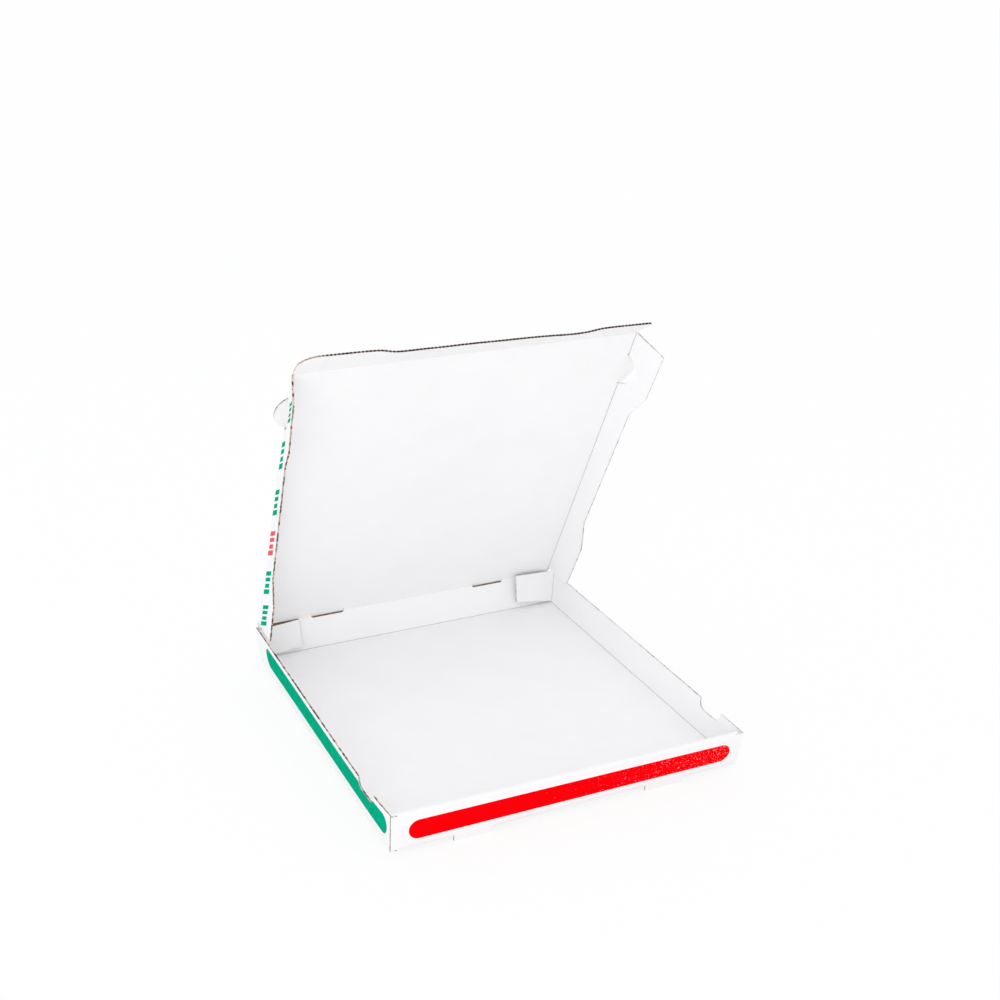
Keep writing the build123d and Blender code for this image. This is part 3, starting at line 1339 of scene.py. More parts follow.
    def front_corner(self, side: Side) -> Surface:
        """Flap of a side wall shut in between the layers of the front wall.

        Args:
            side: which wall.

        Returns:
            A bilinear board between the flap's fold and its free end.
        """
        b = self.blank
        ends = b.tray_width / 2 - np.array([b.half, self.front_corner_length])
        foot, up, inward = self.front_frame(side.value * ends)
        foot = foot + inward * b.layer_pitch
        lean = float(b.side_lean(side, -b.tray_depth / 2))
        up_fold = up[0] + [side.value * np.tan(lean), 0.0, 0.0]
        low, high = b.layer_low - b.half, b.front_height - b.layer_pitch - b.board
        share = np.linspace(0, 1, FRONT_CORNER_POINTS)
        return patch(foot[0] + up_fold * low, foot[0] + up_fold * high,
                     foot[1] + up[1] * low, foot[1] + up[1] * high, share, share)

    def back_corner(self, side: Side, fine: bool = False) -> Surface:
        """Flap of a side wall inside the back wall.

        Args:
            side: which flap; the right one is loose, stands off more and reaches higher.
            fine: whether the grid is fine enough to show flutes.

        Returns:
            The flap from its fold to its free end, which rides higher than the fold.
        """
        b, right = self.blank, side is Side.RIGHT
        lean = np.radians(b.back_lean)
        up = np.array([0.0, np.sin(lean), np.cos(lean)])
        inward = np.array([0.0, -np.cos(lean), np.sin(lean)])
        foot = np.array([0.0, b.tray_depth / 2 - b.half, b.half])
        foot = foot + inward * (self.stand_off(side) + b.board)
        fold = foot + [side.value * (b.tray_width / 2 - b.half), 0.0, 0.0]
        free = foot + [side.value * (b.tray_width / 2 - self.back_corner_length), 0.0, 0.0]
        up_fold = up + [side.value * np.tan(float(b.side_lean(side, b.hinge_y))), 0.0, 0.0]
        loose = np.radians(self.loose_corner_angle if right else b.back_lean)
        up_free = np.array([0.0, np.sin(loose), np.cos(loose)])
        low = b.layer_low - b.half
        fold_high = b.side_height - b.outer_radius - self.back_corner_sink
        free_low = low + (self.right_corner_lift if right else self.left_corner_lift)
        free_high = (b.hinge_z - b.half - self.back_corner_headroom - free[2]) / up_free[2]
        if right:
            fold_high += self.loose_fold_rise
            free_high += self.loose_free_rise
        rows = BACK_CORNER_FLUTE_ROWS if fine else BACK_CORNER_ROWS
        return patch(fold + up_fold * low, fold + up_fold * fold_high,
                     free + up_free * free_low, free + up_free * free_high,
                     np.linspace(0, 1, BACK_CORNER_COLUMNS), np.linspace(0, 1, rows))

    def window_left(self, x: Array) -> Array:
        """How much of the back wall is cut away below the hinge line.

        Args:
            x: places along the wall.

        Returns:
            The window's depth less its round corners, or the hinge's gap if that is more.
        """
        b = self.blank
        inset = self.window_width / 2 - np.abs(np.abs(x) - self.window_spacing / 2)
        cut = self.window_depth - corner_cut(inset, self.window_corner)
        return np.where(inset > 0, np.maximum(cut, b.half + b.hinge_gap), b.half + b.hinge_gap)

    def back_stations(self) -> Array:
        """Stations along the back wall.

        Returns:
            Places over the wall, close together at the windows' corners.
        """
        half = self.blank.floor_half_width
        cuts = [round_cut(side.value * self.window_spacing / 2, self.window_width,
                          self.window_corner, CUT_POINTS) for side in Side]
        return stations(-half, half, PANEL_STEP, np.concatenate(cuts))

    def back_wall(self) -> Surface:
        """Back wall with the fold at its foot and two windows at its top.

        Returns:
            A folded path at each station, with flutes up and down.
        """
        b = self.blank
        x = self.back_stations()
        lean = np.radians(b.back_lean)
        up = np.array([np.sin(lean), np.cos(lean)])
        start = np.broadcast_to([b.floor_half_depth - OVERLAP, b.half], (len(x), 2))
        foot = np.broadcast_to([b.tray_depth / 2 - b.half, b.half], (len(x), 2))
        top = foot + up * (b.hinge_run - self.window_left(x))[:, None]
        path, normal, run = folded_path(np.stack([start, foot, top], axis=1), b.bend, BACK_STEPS)
        xx = np.broadcast_to(x[:, None], run.shape)
        points = np.stack([xx, path[..., 0], path[..., 1]], axis=-1)
        return Surface(points, np.stack([0 * run, normal[..., 0], normal[..., 1]], axis=-1), xx)

    def back_panel(self, x: Array, run: Array, facing: float = 1.0) -> Surface:
        """Flat strip of the back wall.

        Args:
            x: stations.
            run: heights up the wall on a grid of stations x steps.
            facing: 1 for a strip that faces outwards, -1 for one that faces into the tray.

        Returns:
            foot + (sin lean, cos lean) run, with flutes up and down.
        """
        b = self.blank
        lean = np.radians(b.back_lean)
        xx = np.broadcast_to(x[:, None], run.shape)
        y = b.tray_depth / 2 - b.half + np.sin(lean) * run
        points = np.stack([xx, y, b.half + np.cos(lean) * run], axis=-1)
        normal = facing * np.array([0.0, np.cos(lean), -np.sin(lean)])
        return Surface(points, np.broadcast_to(normal, points.shape), xx)

    def window_strip(self, side: Side) -> Surface:
        """Strip of the back wall along one window, fine enough to show its flutes.

        Args:
            side: which window.

        Returns:
            The flat strip below the window's cut.
        """
        middle = side.value * self.window_spacing / 2
        reach = self.window_width / 2 + self.strip_margin
        x = np.linspace(middle - reach, middle + reach, WINDOW_COLUMNS)
        top = (self.blank.hinge_run - self.window_left(x))[:, None]
        return self.back_panel(x, top - np.linspace(self.strip_depth, 0.0, STRIP_ROWS))

    def lip(self, side: Side) -> Surface:
        """Edge of the back wall's outer liner, a little higher than the window's cut.

        Args:
            side: which window.

        Returns:
            The flat strip from below the cut to the lip.
        """
        b = self.blank
        middle, half = side.value * self.window_spacing / 2, self.window_width / 2
        x = np.linspace(middle - half, middle + half, LINER_COLUMNS)
        low, high = b.hinge_run - self.window_depth - b.board, b.hinge_run - self.window_lip
        return self.back_panel(x, even_rows(len(x), low, high, STRIP_ROWS))

    def gap_shade_strip(self) -> Surface:
        """Strip of dark kraft on the back wall over the left corner flap, painted shade of the gap
        there.

        Returns:
            The flat strip, which faces into the tray.
        """
        b = self.blank
        first = self.gap_shade_depth - b.floor_half_width
        last = self.back_corner_length - b.tray_width / 2
        x = np.linspace(first, last, LINER_COLUMNS)
        low, high = b.hinge_run - self.gap_shade_depth, b.hinge_run - b.half - b.hinge_gap
        return self.back_panel(x, even_rows(len(x), low, high, KRAFT_ROWS), facing=-1.0)

    def fold_shade_lines(self, board: BoardMesh) -> None:
        """Add dull lines of painted shade inside the folds at the feet of the side walls and the
        back wall.

        Args:
            board: mesh that takes them.
        """
        b, w = self.blank, self.shade_strip_width
        y = stations(-b.floor_half_depth + 2 * b.layer_pitch, b.floor_half_depth, PLATE_STEP)
        flat = np.zeros_like(y)
        for side in Side:
            lean, foot = b.side_lean(side, y), b.tray_width / 2 - b.board
            near = np.stack([flat + side.value * (foot - w), y, flat + b.board], axis=-1)
            far_x = side.value * (foot + np.sin(lean) * w)
            far = np.stack([far_x, y, b.board + np.cos(lean) * w], axis=-1)
            board.shade_strip(near, far, np.array([-side.value, 0.0, 1.0]))
        x = stations(-b.floor_half_width, b.floor_half_width, FLOOR_STEP)
        flat, lean, foot = np.zeros_like(x), np.radians(b.back_lean), b.tray_depth / 2 - b.board
        near = np.stack([x, flat + foot - w, flat + b.board], axis=-1)
        far_y, far_z = foot + np.sin(lean) * w, b.board + np.cos(lean) * w
        far = np.stack([x, flat + far_y, flat + far_z], axis=-1)
        board.shade_strip(near, far, np.array([0.0, -1.0, 1.0]))

    def build(self) -> None:
        """Build and dress the tray's board, its flutes and its print."""
        b = self.blank
        board, flutes = BoardMesh(b), BoardMesh(b)
        board.liners(self.floor())
        self.build_front(board, flutes)
        board.liners(self.back_wall())
        # Strips of painted shade in the folds at the walls' feet.
        self.fold_shade_lines(board)
        for side in Side:
            board.liners(self.side_wall(side))
            flutes.flutes(self.rim_strip(side))
            board.solid(self.front_corner(side), b.board)
            board.lip(self.lip(side))
            flutes.flutes(self.window_strip(side))
        board.liners(self.back_corner(Side.LEFT))
        # Painted shade: a dark kraft film stands in for the shadowed gap above the left corner
        # flap.
        board.ink(self.gap_shade_strip(), ply=Ply.KRAFT)
        # The left corner flap's flutes take the darker kraft medium instead of the rim finish: real
        # kraft, and partly painted shade of the gap above the flap.
        flutes.flutes(self.back_corner(Side.LEFT, fine=True), ply=1)
        settle(board.write("tray_board", self.paints.walls), "tray", "tray")
        settle(flutes.write("tray_flutes", [self.paints.rim, self.paints.medium]), "tray")
        self.build_loose_corner()
        self.print_front()
        self.print_left()

    def build_loose_corner(self) -> None:
        """Build the right corner flap, which stands past the rim until the lid presses it down."""
        board, flutes = BoardMesh(self.blank), BoardMesh(self.blank)
        surface, w = self.back_corner(Side.RIGHT), self.shade_strip_width
        board.liners(surface)
        flutes.flutes(self.back_corner(Side.RIGHT, fine=True))
        inside = surface.lifted(-self.blank.half)[0] - [self.blank.bend, 0.0, 0.0]
        # A strip of painted shade inside the corner flap's fold.
        board.shade_strip(inside - [w, 0.0, 0.0], inside - [0.0, w, 0.0], np.array([-1.0, -1.0, 0.0]))
        pieces = (board.write("loose_corner", self.paints.walls),
                  flutes.write("loose_corner_flutes", [self.paints.rim]))
        for piece in pieces:
            settle(piece, "tray")
            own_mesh(piece)

    def build_front(self, board: BoardMesh, flutes: BoardMesh) -> None:
        """Add the front wall in spans between its tongues, with its open ends and its lock tabs.

        Args:
            board, flutes: meshes that take the liners and the medium.
        """
        b = self.blank
        inner, outer = (self.tongue_spacing / 2 + e * self.tongue_width / 2 for e in (-1, 1))
        marks = [-b.floor_half_width, -outer, -inner, inner, outer, b.floor_half_width]
        for index, (low, high) in enumerate(zip(marks, marks[1:])):
            x = stations(low, high, PANEL_STEP)
            board.liners(self.front_wall(x, tongue=bool(index % 2)))
        for side in Side:
            self.add_end(board, flutes, side)
            middle, half = side.value * self.tongue_spacing / 2, self.tongue_width / 2
            x = np.linspace(middle - half, middle + half, TONGUE_COLUMNS)
            low = -self.tongue_length - b.half
            run = even_rows(len(x), low, self.tongue_flutes, STRIP_ROWS)
            flutes.flutes(self.front_panel(x, run))
            half = self.lock_width / 2
            x = np.linspace(middle - half, middle + half, LOCK_COLUMNS)
            low, high = b.layer_gap - b.half, b.layer_low - b.half + OVERLAP
            run = even_rows(len(x), low, high, LOCK_ROWS)
            board.solid(self.front_panel(x, run, layer=2.0), b.board)

    def add_end(self, board: BoardMesh, flutes: BoardMesh, side: Side) -> None:
        """Add the open end of the outer front panel, where the flutes lie along the cut.

        Args:
            board, flutes: meshes that take the liners and the medium.
            side: which end.
        """
        b = self.blank
        flare = np.tan(float(b.side_lean(side, -b.tray_depth / 2)))
        low, high = self.end_inset - b.half, b.front_height - b.half - self.end_inset
        grids = ((board, -OVERLAP, END_COLUMNS), (flutes, -self.end_flutes, END_FLUTE_COLUMNS))
        for mesh, start, count in grids:
            reach = (b.outer_radius - start) * np.linspace(0, 1, count)
            x = np.sort(side.value * (b.floor_half_width + start + reach))
            run = even_rows(count, low, high, END_ROWS)
            panel = self.front_panel(x, run)
            share = np.clip((np.abs(x) - b.floor_half_width) / b.outer_radius, 0.0, 1.0)
            outward = share[:, None] * run * flare
            points = panel.points + outward[..., None] * np.array([side.value, 0.0, 0.0])
            if mesh is board:
                board.liners(Surface(points, panel.normals, panel.across))
            else:
                across = panel.across + wander(run * self.end_drift, self.end_seed)
                flutes.flutes(Surface(points, panel.normals, across), ply=int(side is Side.LEFT))

    def print_front(self) -> None:
        """Print the red band with round ends on the front wall."""
        x, run = capsule(*self.blank.front_band, *self.blank.print_rise)
        ink = BoardMesh(self.blank)
        ink.ink(self.front_panel(x, run))
        settle(ink.write("front_band", [self.paints.red]), "tray")

    def print_left(self) -> None:
        """Print the green band with round ends on the left wall, cut by the notch."""
        y, run = capsule(*self.blank.left_band, *self.blank.left_rise)
        rim_places = self.wall_stations()
        within = rim_places[(rim_places > y[0]) & (rim_places < y[-1])]
        y_fine = np.unique(np.concatenate([y, within]))
        run = np.stack([np.interp(y_fine, y, column) for column in run.T], axis=1)
        rim = self.rim_run(Side.LEFT, y_fine)[:, None] - self.band_margin
        points, normals = self.wall_place(Side.LEFT, y_fine, np.minimum(run, rim))
        ink = BoardMesh(self.blank)
        ink.ink(Surface(points, normals, run))
        settle(ink.write("left_band", [self.paints.green]), "tray")


def capsule(start: float, end: float, low: float, high: float) -> tuple[Array, Array]:
    """Band with full round ends.

    Args:
        start, end: ends of the band along its length.
        low, high: its lower and upper edge.

    Returns:
        Stations and a grid of heights: middle + t sqrt(r^2 - d^2), d being how far a station lies
        in a round end.
    """
    radius = (high - low) / 2
    turn = radius * (1 - np.cos(np.linspace(FIRST_ANGLE, np.pi / 2, BAND_END_COLUMNS)))
    straight = np.linspace(start + radius, end - radius, BAND_COLUMNS)
    along = np.unique(np.concatenate([start + turn, end - turn, straight]))
    lack = np.maximum(radius - np.minimum(along - start, end - along), 0.0)
    reach = np.sqrt(np.maximum(radius**2 - lack**2, 0.0))
    return along, (low + high) / 2 + reach[:, None] * np.linspace(-1, 1, BAND_ROWS)


@dataclass
class Lid:
    """Top of the lid: plate, hinge tongues, lift tabs and the crease at the hinge."""

    blank: Blank
    paints: Paints
    tongue_width: float = 31.0
    tongue_length: float = 2.8
    tongue_corner: float = 2.2
    tongue_spacing: float = 163.5
    tab_chord: float = 32.0
    tab_reach: float = 10.5
    tab_from_front: float = 43.0
    tab_share: float = 0.9995
    tongue_flutes: float = 6.0

    @property
    def half_width(self) -> float:
        """Half the width of the flat plate."""
        return self.blank.crease_x - self.blank.half - self.blank.hinge_gap

    @property
    def tab_v(self) -> float:
        """Distance of the lift tabs' middles from the hinge."""
        return self.blank.lid_length - self.tab_from_front

    def place(self, x: Array, v: Array) -> Surface:
        """Put the standing lid on a grid.

        Args:
            x, v: places across the lid, and distances from the hinge.

        Returns:
            The flat surface turned with the lid; its flutes run away from the hinge.
        """
        b = self.blank
        points = np.stack([x, b.hinge_y - v, np.full(x.shape, b.hinge_z)], axis=-1)
        return Surface(points, np.broadcast_to([0.0, 0.0, 1.0], points.shape), x).swung(b)

    def tongue_reach(self, x: Array) -> Array:
        """Distance from the hinge at which the plate starts.

        Args:
            x: places across the lid.

        Returns:
            The plate's start, and on the tongues their rounded tips, which are negative.
        """
        inset = self.tongue_width / 2 - np.abs(np.abs(x) - self.tongue_spacing / 2)
        tip = corner_cut(inset, self.tongue_corner) - self.tongue_length
        return np.where(inset > 0, tip, PLATE_START)

    def plate(self) -> Surface:
        """Flat plate with its two hinge tongues.

        Returns:
            The surface from the tongues' tips to the tuck crease.
        """
        b = self.blank
        cuts = [round_cut(side.value * self.tongue_spacing / 2, self.tongue_width,
                          self.tongue_corner, CUT_POINTS) for side in Side]
        x = stations(-self.half_width, self.half_width, PLATE_STEP, np.concatenate(cuts))
        start = self.tongue_reach(x)[:, None]
        end = b.lid_length - b.half - b.hinge_gap
        v = start + (end - start) * np.linspace(0, 1, PLATE_ROWS)
        return self.place(np.broadcast_to(x[:, None], v.shape), v)

    def tongue(self, side: Side) -> Surface:
        """One hinge tongue, fine enough to show its flutes.

        Args:
            side: which tongue.

        Returns:
            The surface from the tip to a little past the hinge.
        """
        middle = side.value * self.tongue_spacing / 2
        half = self.tongue_width / 2 - OVERLAP
        x = np.linspace(middle - half, middle + half, TONGUE_COLUMNS)
        start = self.tongue_reach(x)[:, None]
        v = start + (self.tongue_flutes - start) * np.linspace(0, 1, STRIP_ROWS)
        return self.place(np.broadcast_to(x[:, None], v.shape), v)

    def tab(self, side: Side) -> Surface:
        """One lift tab, a half-moon beyond the plate's edge.

        Args:
            side: which tab.

        Returns:
            The surface from the plate's edge to the half-moon's arc.
        """
        b = self.blank
        turn = np.sin(np.linspace(-np.pi / 2, np.pi / 2, TAB_COLUMNS))
        off = self.tab_chord / 2 * turn * self.tab_share
        reach = b.crease_x + half_moon(off, self.tab_chord / 2, self.tab_reach) - self.half_width
        x = self.half_width + reach[:, None] * np.linspace(0, 1, TAB_ROWS)
        return self.place(side.value * x, np.broadcast_to((self.tab_v + off)[:, None], x.shape))

    def hinge_crease(self, low: float, high: float) -> Surface:
        """Creased board from the back wall's top over the hinge line to the plate.

        Args:
            low, high: x range, between tongues.

        Returns:
            The arc (1-t)^2 wall + 2t(1-t) bend + t^2 plate on each x.
        """
        b = self.blank
        lean = np.radians(b.back_lean)
        wall = np.array([0.0, np.sin(lean), np.cos(lean)])
        out = b.opened_direction(np.array([0.0, -1.0, 0.0]))
        hinge = np.array([0.0, b.hinge_y, b.hinge_z])
        start = hinge - wall * (b.half + b.hinge_gap + HINGE_LAP)
        end = hinge + out * (PLATE_START + HINGE_LAP)
        along = np.array([1.0, 0.0, 0.0])
        return bent_strip(start, hinge, end, along, stations(low, high, PANEL_STEP))

    def build(self) -> None:
        """Build and dress the lid's board, its flutes and the hinge crease."""
        board, flutes, crease = (BoardMesh(self.blank) for _ in range(3))
        board.liners(self.plate())
        for side in Side:
            flutes.flutes(self.tongue(side))
            board.liners(self.tab(side))
            flutes.flutes(self.tab(side))
        settle(board.write("lid_board", self.paints.board), "lid", "lid_panel")
        settle(flutes.write("lid_flutes", [self.paints.rim]), "lid")
        edge = self.tongue_width / 2 + self.blank.cut_gap
        inner, outer = (self.tongue_spacing / 2 + e * edge for e in (-1, 1))
        end = self.blank.floor_half_width
        for low, high in ((-end, -outer), (-inner, inner), (outer, end)):
            crease.solid(self.hinge_crease(low, high), CREASE_THICKNESS)
        piece = crease.write("hinge_crease", self.paints.board)
        bend_between(piece, self.hinge_crease(0.0, PANEL_STEP).points[0])


def bent_strip(start: Array, bend: Array, end: Array, along: Array, places: Array) -> Surface:
    """Crease between two boards, carried along its fold line.

    Args:
        start, bend, end: where it leaves the first board, where the two planes meet, and where it
            joins the second; each a point, or one point per place.
        along: direction of the fold line.
        places: distances along the fold line.

    Returns:
        The quadratic arc through them, its normals square to the arc and to the fold line.
    """
    t = np.linspace(0, 1, CREASE_ROWS)[None, :, None]
    start, bend, end = (np.atleast_2d(p)[:, None] for p in (start, bend, end))
    arc = (1 - t) ** 2 * start + 2 * t * (1 - t) * bend + t**2 * end
    slope = (1 - t) * (bend - start) + t * (end - bend)
    points = arc + along * places[:, None, None]
    normals = np.broadcast_to(unit(np.cross(along, slope)), points.shape)
    return Surface(points, normals, np.broadcast_to(t[..., 0], points.shape[:2]))


@dataclass
class SideFlap:
    """Side flap of the lid: front tab, waist and rear tab, twisted, with the lift tab's hole."""

    blank: Blank
    paints: Paints
    lid: Lid
    side: Side
    rear_fold: float
    front_fold: float
    floor_gap: float = 1.05
    waist_depth: float = 21.0
    rear_gap: float = 5.0
    rear_taper: float = 9.0
    rear_length: float = 61.5
    rear_slope: float = 29.0
    front_gap: float = 2.0
    front_taper: float = 2.5
    front_length: float = 54.5
    front_slope: float = 25.0
    hole_gap: float = 1.0
    ease: float = 1.2
    ease_margin: float = 1.5
    least_depth: float = 0.05
    crease_end_gap: float = 0.3
    cut_seed: float = 0.7

    @property
    def depth(self) -> float:
        """Depth of the two tabs."""
        return self.blank.hinge_z - self.blank.board - self.floor_gap

    @property
    def front(self) -> float:
        """Distance of the flap's front end from the hinge."""
        return self.blank.lid_length - self.front_gap

    @property
    def hole_half(self) -> float:
        """Half the chord of the lift tab's hole."""
        return self.lid.tab_chord / 2 + self.hole_gap

    def outline(self) -> tuple[Array, Array]:
        """Corner points of the free edge.

        Returns:
            Distances from the hinge, and depths.
        """
        r, f = self.rear_gap, self.front
        waist_rear = r + self.rear_length + self.rear_slope
        waist_front = f - self.front_length - self.front_slope
        v = [r, r + self.rear_taper, r + self.rear_length, waist_rear,
             waist_front, f - self.front_length, f - self.front_taper, f]
        d, w = self.depth, self.waist_depth
        return np.array(v), np.array([0.0, d, d, w, w, d, d, 0.0])

    def free_edge(self, v: Array) -> Array:
        """Depth of the free edge, with its corners eased by averaging over a short reach.

        Args:
            v: distances from the hinge.

        Returns:
            The mean of the outline's depths around v, or its plain depth on the two end tapers.
        """
        marks, depths = self.outline()
        shifts = np.linspace(-self.ease, self.ease, EASE_SHIFTS)
        eased = np.mean([np.interp(v + shift, marks, depths) for shift in shifts], axis=0)
        first = marks[0] + self.rear_taper + self.ease_margin
        last = marks[-1] - self.front_taper - self.ease_margin
        return np.where((v > first) & (v < last), eased, np.interp(v, marks, depths))

    def hole_edge(self, v: Array) -> Array:
        """Depth at which the flap starts.

        Args:
            v: distances from the hinge.

        Returns:
            The half-moon of the lift tab's hole, or the crease's edge where that is deeper.
        """
        reach = self.lid.tab_reach + self.hole_gap
        hole = half_moon(v - self.lid.tab_v, self.hole_half, reach)
        return np.maximum(hole, FLAP_START)

    def fold(self, v: Array) -> Array:
        """Fold angle in radians, which changes evenly from rear to front."""
        share = np.asarray(v) / self.blank.lid_length
        return np.radians(self.rear_fold + (self.front_fold - self.rear_fold) * share)

    def frame(self, v: Array) -> tuple[Array, Array, Array]:
        """Frame of the shut flap.

        Args:
            v: distances from the hinge.

        Returns:
            Crease points, outward directions (cos fold, -sin fold) and normals.
        """
        b, s = self.blank, self.side.value
        fold = self.fold(v)
        flat = np.zeros_like(fold)
        crease = np.stack([flat + s * b.crease_x, b.hinge_y - v, flat + b.hinge_z], axis=-1)
        out = np.stack([s * np.cos(fold), flat, -np.sin(fold)], axis=-1)
        return crease, out, np.stack([s * np.sin(fold), flat, np.cos(fold)], axis=-1)

    def place(self, v: Array, d: Array) -> Surface:
        """Put the standing flap on a grid.

        Args:
            v, d: distances from the hinge, and depths.

        Returns:
            crease + out d / cos(fold - mean fold), turned with the lid; its flutes lie along it.
        """
        v = v if v.ndim == 2 else v[:, None]
        crease, out, normal = self.frame(v)
        mean = np.radians((self.rear_fold + self.front_fold) / 2)
        stretch = 1 / np.cos(self.fold(v) - mean)
        points = crease + out * (d * stretch)[..., None]
        across = d + wander(v, self.cut_seed + self.side.value)
        return Surface(points, np.broadcast_to(normal, points.shape), across).swung(self.blank)

    def sheet(self, steps: int) -> Surface:
        """The whole flap from crease to free edge.

        Args:
            steps: rows from one to the other.

        Returns:
            The surface, with stations close together at the hole and at the corners.
        """
        marks, _ = self.outline()
        turn = np.sin(np.linspace(-np.pi / 2, np.pi / 2, HOLE_COLUMNS))
        hole = self.lid.tab_v + self.hole_half * turn
        rear = marks[:1] + np.linspace(0, self.rear_taper, REAR_COLUMNS)
        front = marks[-1:] - np.linspace(0, self.front_taper, FRONT_COLUMNS)
        around = np.linspace(-self.ease_margin, self.ease_margin, EASE_COLUMNS)
        corners = np.add.outer(marks[1:-1], around).ravel()
        extra = np.concatenate([hole, rear, front, corners])
        v = stations(marks[0], marks[-1], FLAP_STEP, extra)
        start = self.hole_edge(v)[:, None]
        end = np.maximum(self.free_edge(v)[:, None], start + self.least_depth)
        return self.place(v, start + (end - start) * np.linspace(0, 1, steps))

    def crease(self, low: float, high: float) -> Surface:
        """Creased board between the lid's plate and the flap.

        Args:
            low, high: range of distances from the hinge.

        Returns:
            A bent strip from the plate to the flap, turned with the lid.
        """
        b, s = self.blank, self.side.value
        v = stations(low, high, CREASE_STEP)
        crease, out, _ = self.frame(v)
        plate = crease - [s * (b.half + b.hinge_gap + CREASE_LAP), 0.0, 0.0]
        flap = crease + out * (FLAP_START + CREASE_LAP)
        strip = bent_strip(plate, crease, flap, np.array([0.0, -1.0, 0.0]), 0 * v)
        return Surface(strip.points, strip.normals * s, strip.across).swung(b)

    def build(self) -> None:
        """Build and dress the flap's board, its flutes and its crease."""
        name = self.side.name.lower()
        body = f"{name}_flap"
        board, flutes, crease = (BoardMesh(self.blank) for _ in range(3))
        board.liners(self.sheet(BOARD_ROWS))
        flutes.flutes(self.sheet(FLAP_FLUTE_ROWS))
        settle(board.write(f"{name}_flap_board", self.paints.walls), body, f"{name}_lid_flap")
        settle(flutes.write(f"{name}_flap_flutes", [self.paints.rim]), body)
        rear = (PLATE_START, self.lid.tab_v - self.hole_half)
        front = (self.lid.tab_v + self.hole_half, self.front - self.crease_end_gap)
        for low, high in (rear, front):
            crease.solid(self.crease(low, high), CREASE_THICKNESS)
        # The inside of the flap's crease carries a line of painted shade.
        piece = crease.write(f"{name}_flap_crease", self.paints.fold)
        middle = self.blank.lid_length / 2
        bend_between(piece, self.crease(middle, middle + CREASE_STEP).points[0])

    def print_blocks(self) -> None:
        """Print groups of slanted blocks on the flap's outside, one red and the others green."""
        green, red = BoardMesh(self.blank), BoardMesh(self.blank)
        for index, (start, end, depth) in enumerate(BLOCK_GROUPS):
            ink = red if index == RED_GROUP else green
            for low, high, near, far in BLOCK_SPANS:
                d = even_rows(BLOCK_COLUMNS, near, far, BLOCK_ROWS)
                share = np.linspace(low, high, BLOCK_COLUMNS)[:, None]
                v = start + (end - start) * share + BLOCK_SLANT * d
                ink.ink(self.place(v, depth + d))
        body = f"{self.side.name.lower()}_flap"
        settle(green.write("flap_blocks_green", [self.paints.green]), body)
        settle(red.write("flap_blocks_red", [self.paints.red_flap]), body)


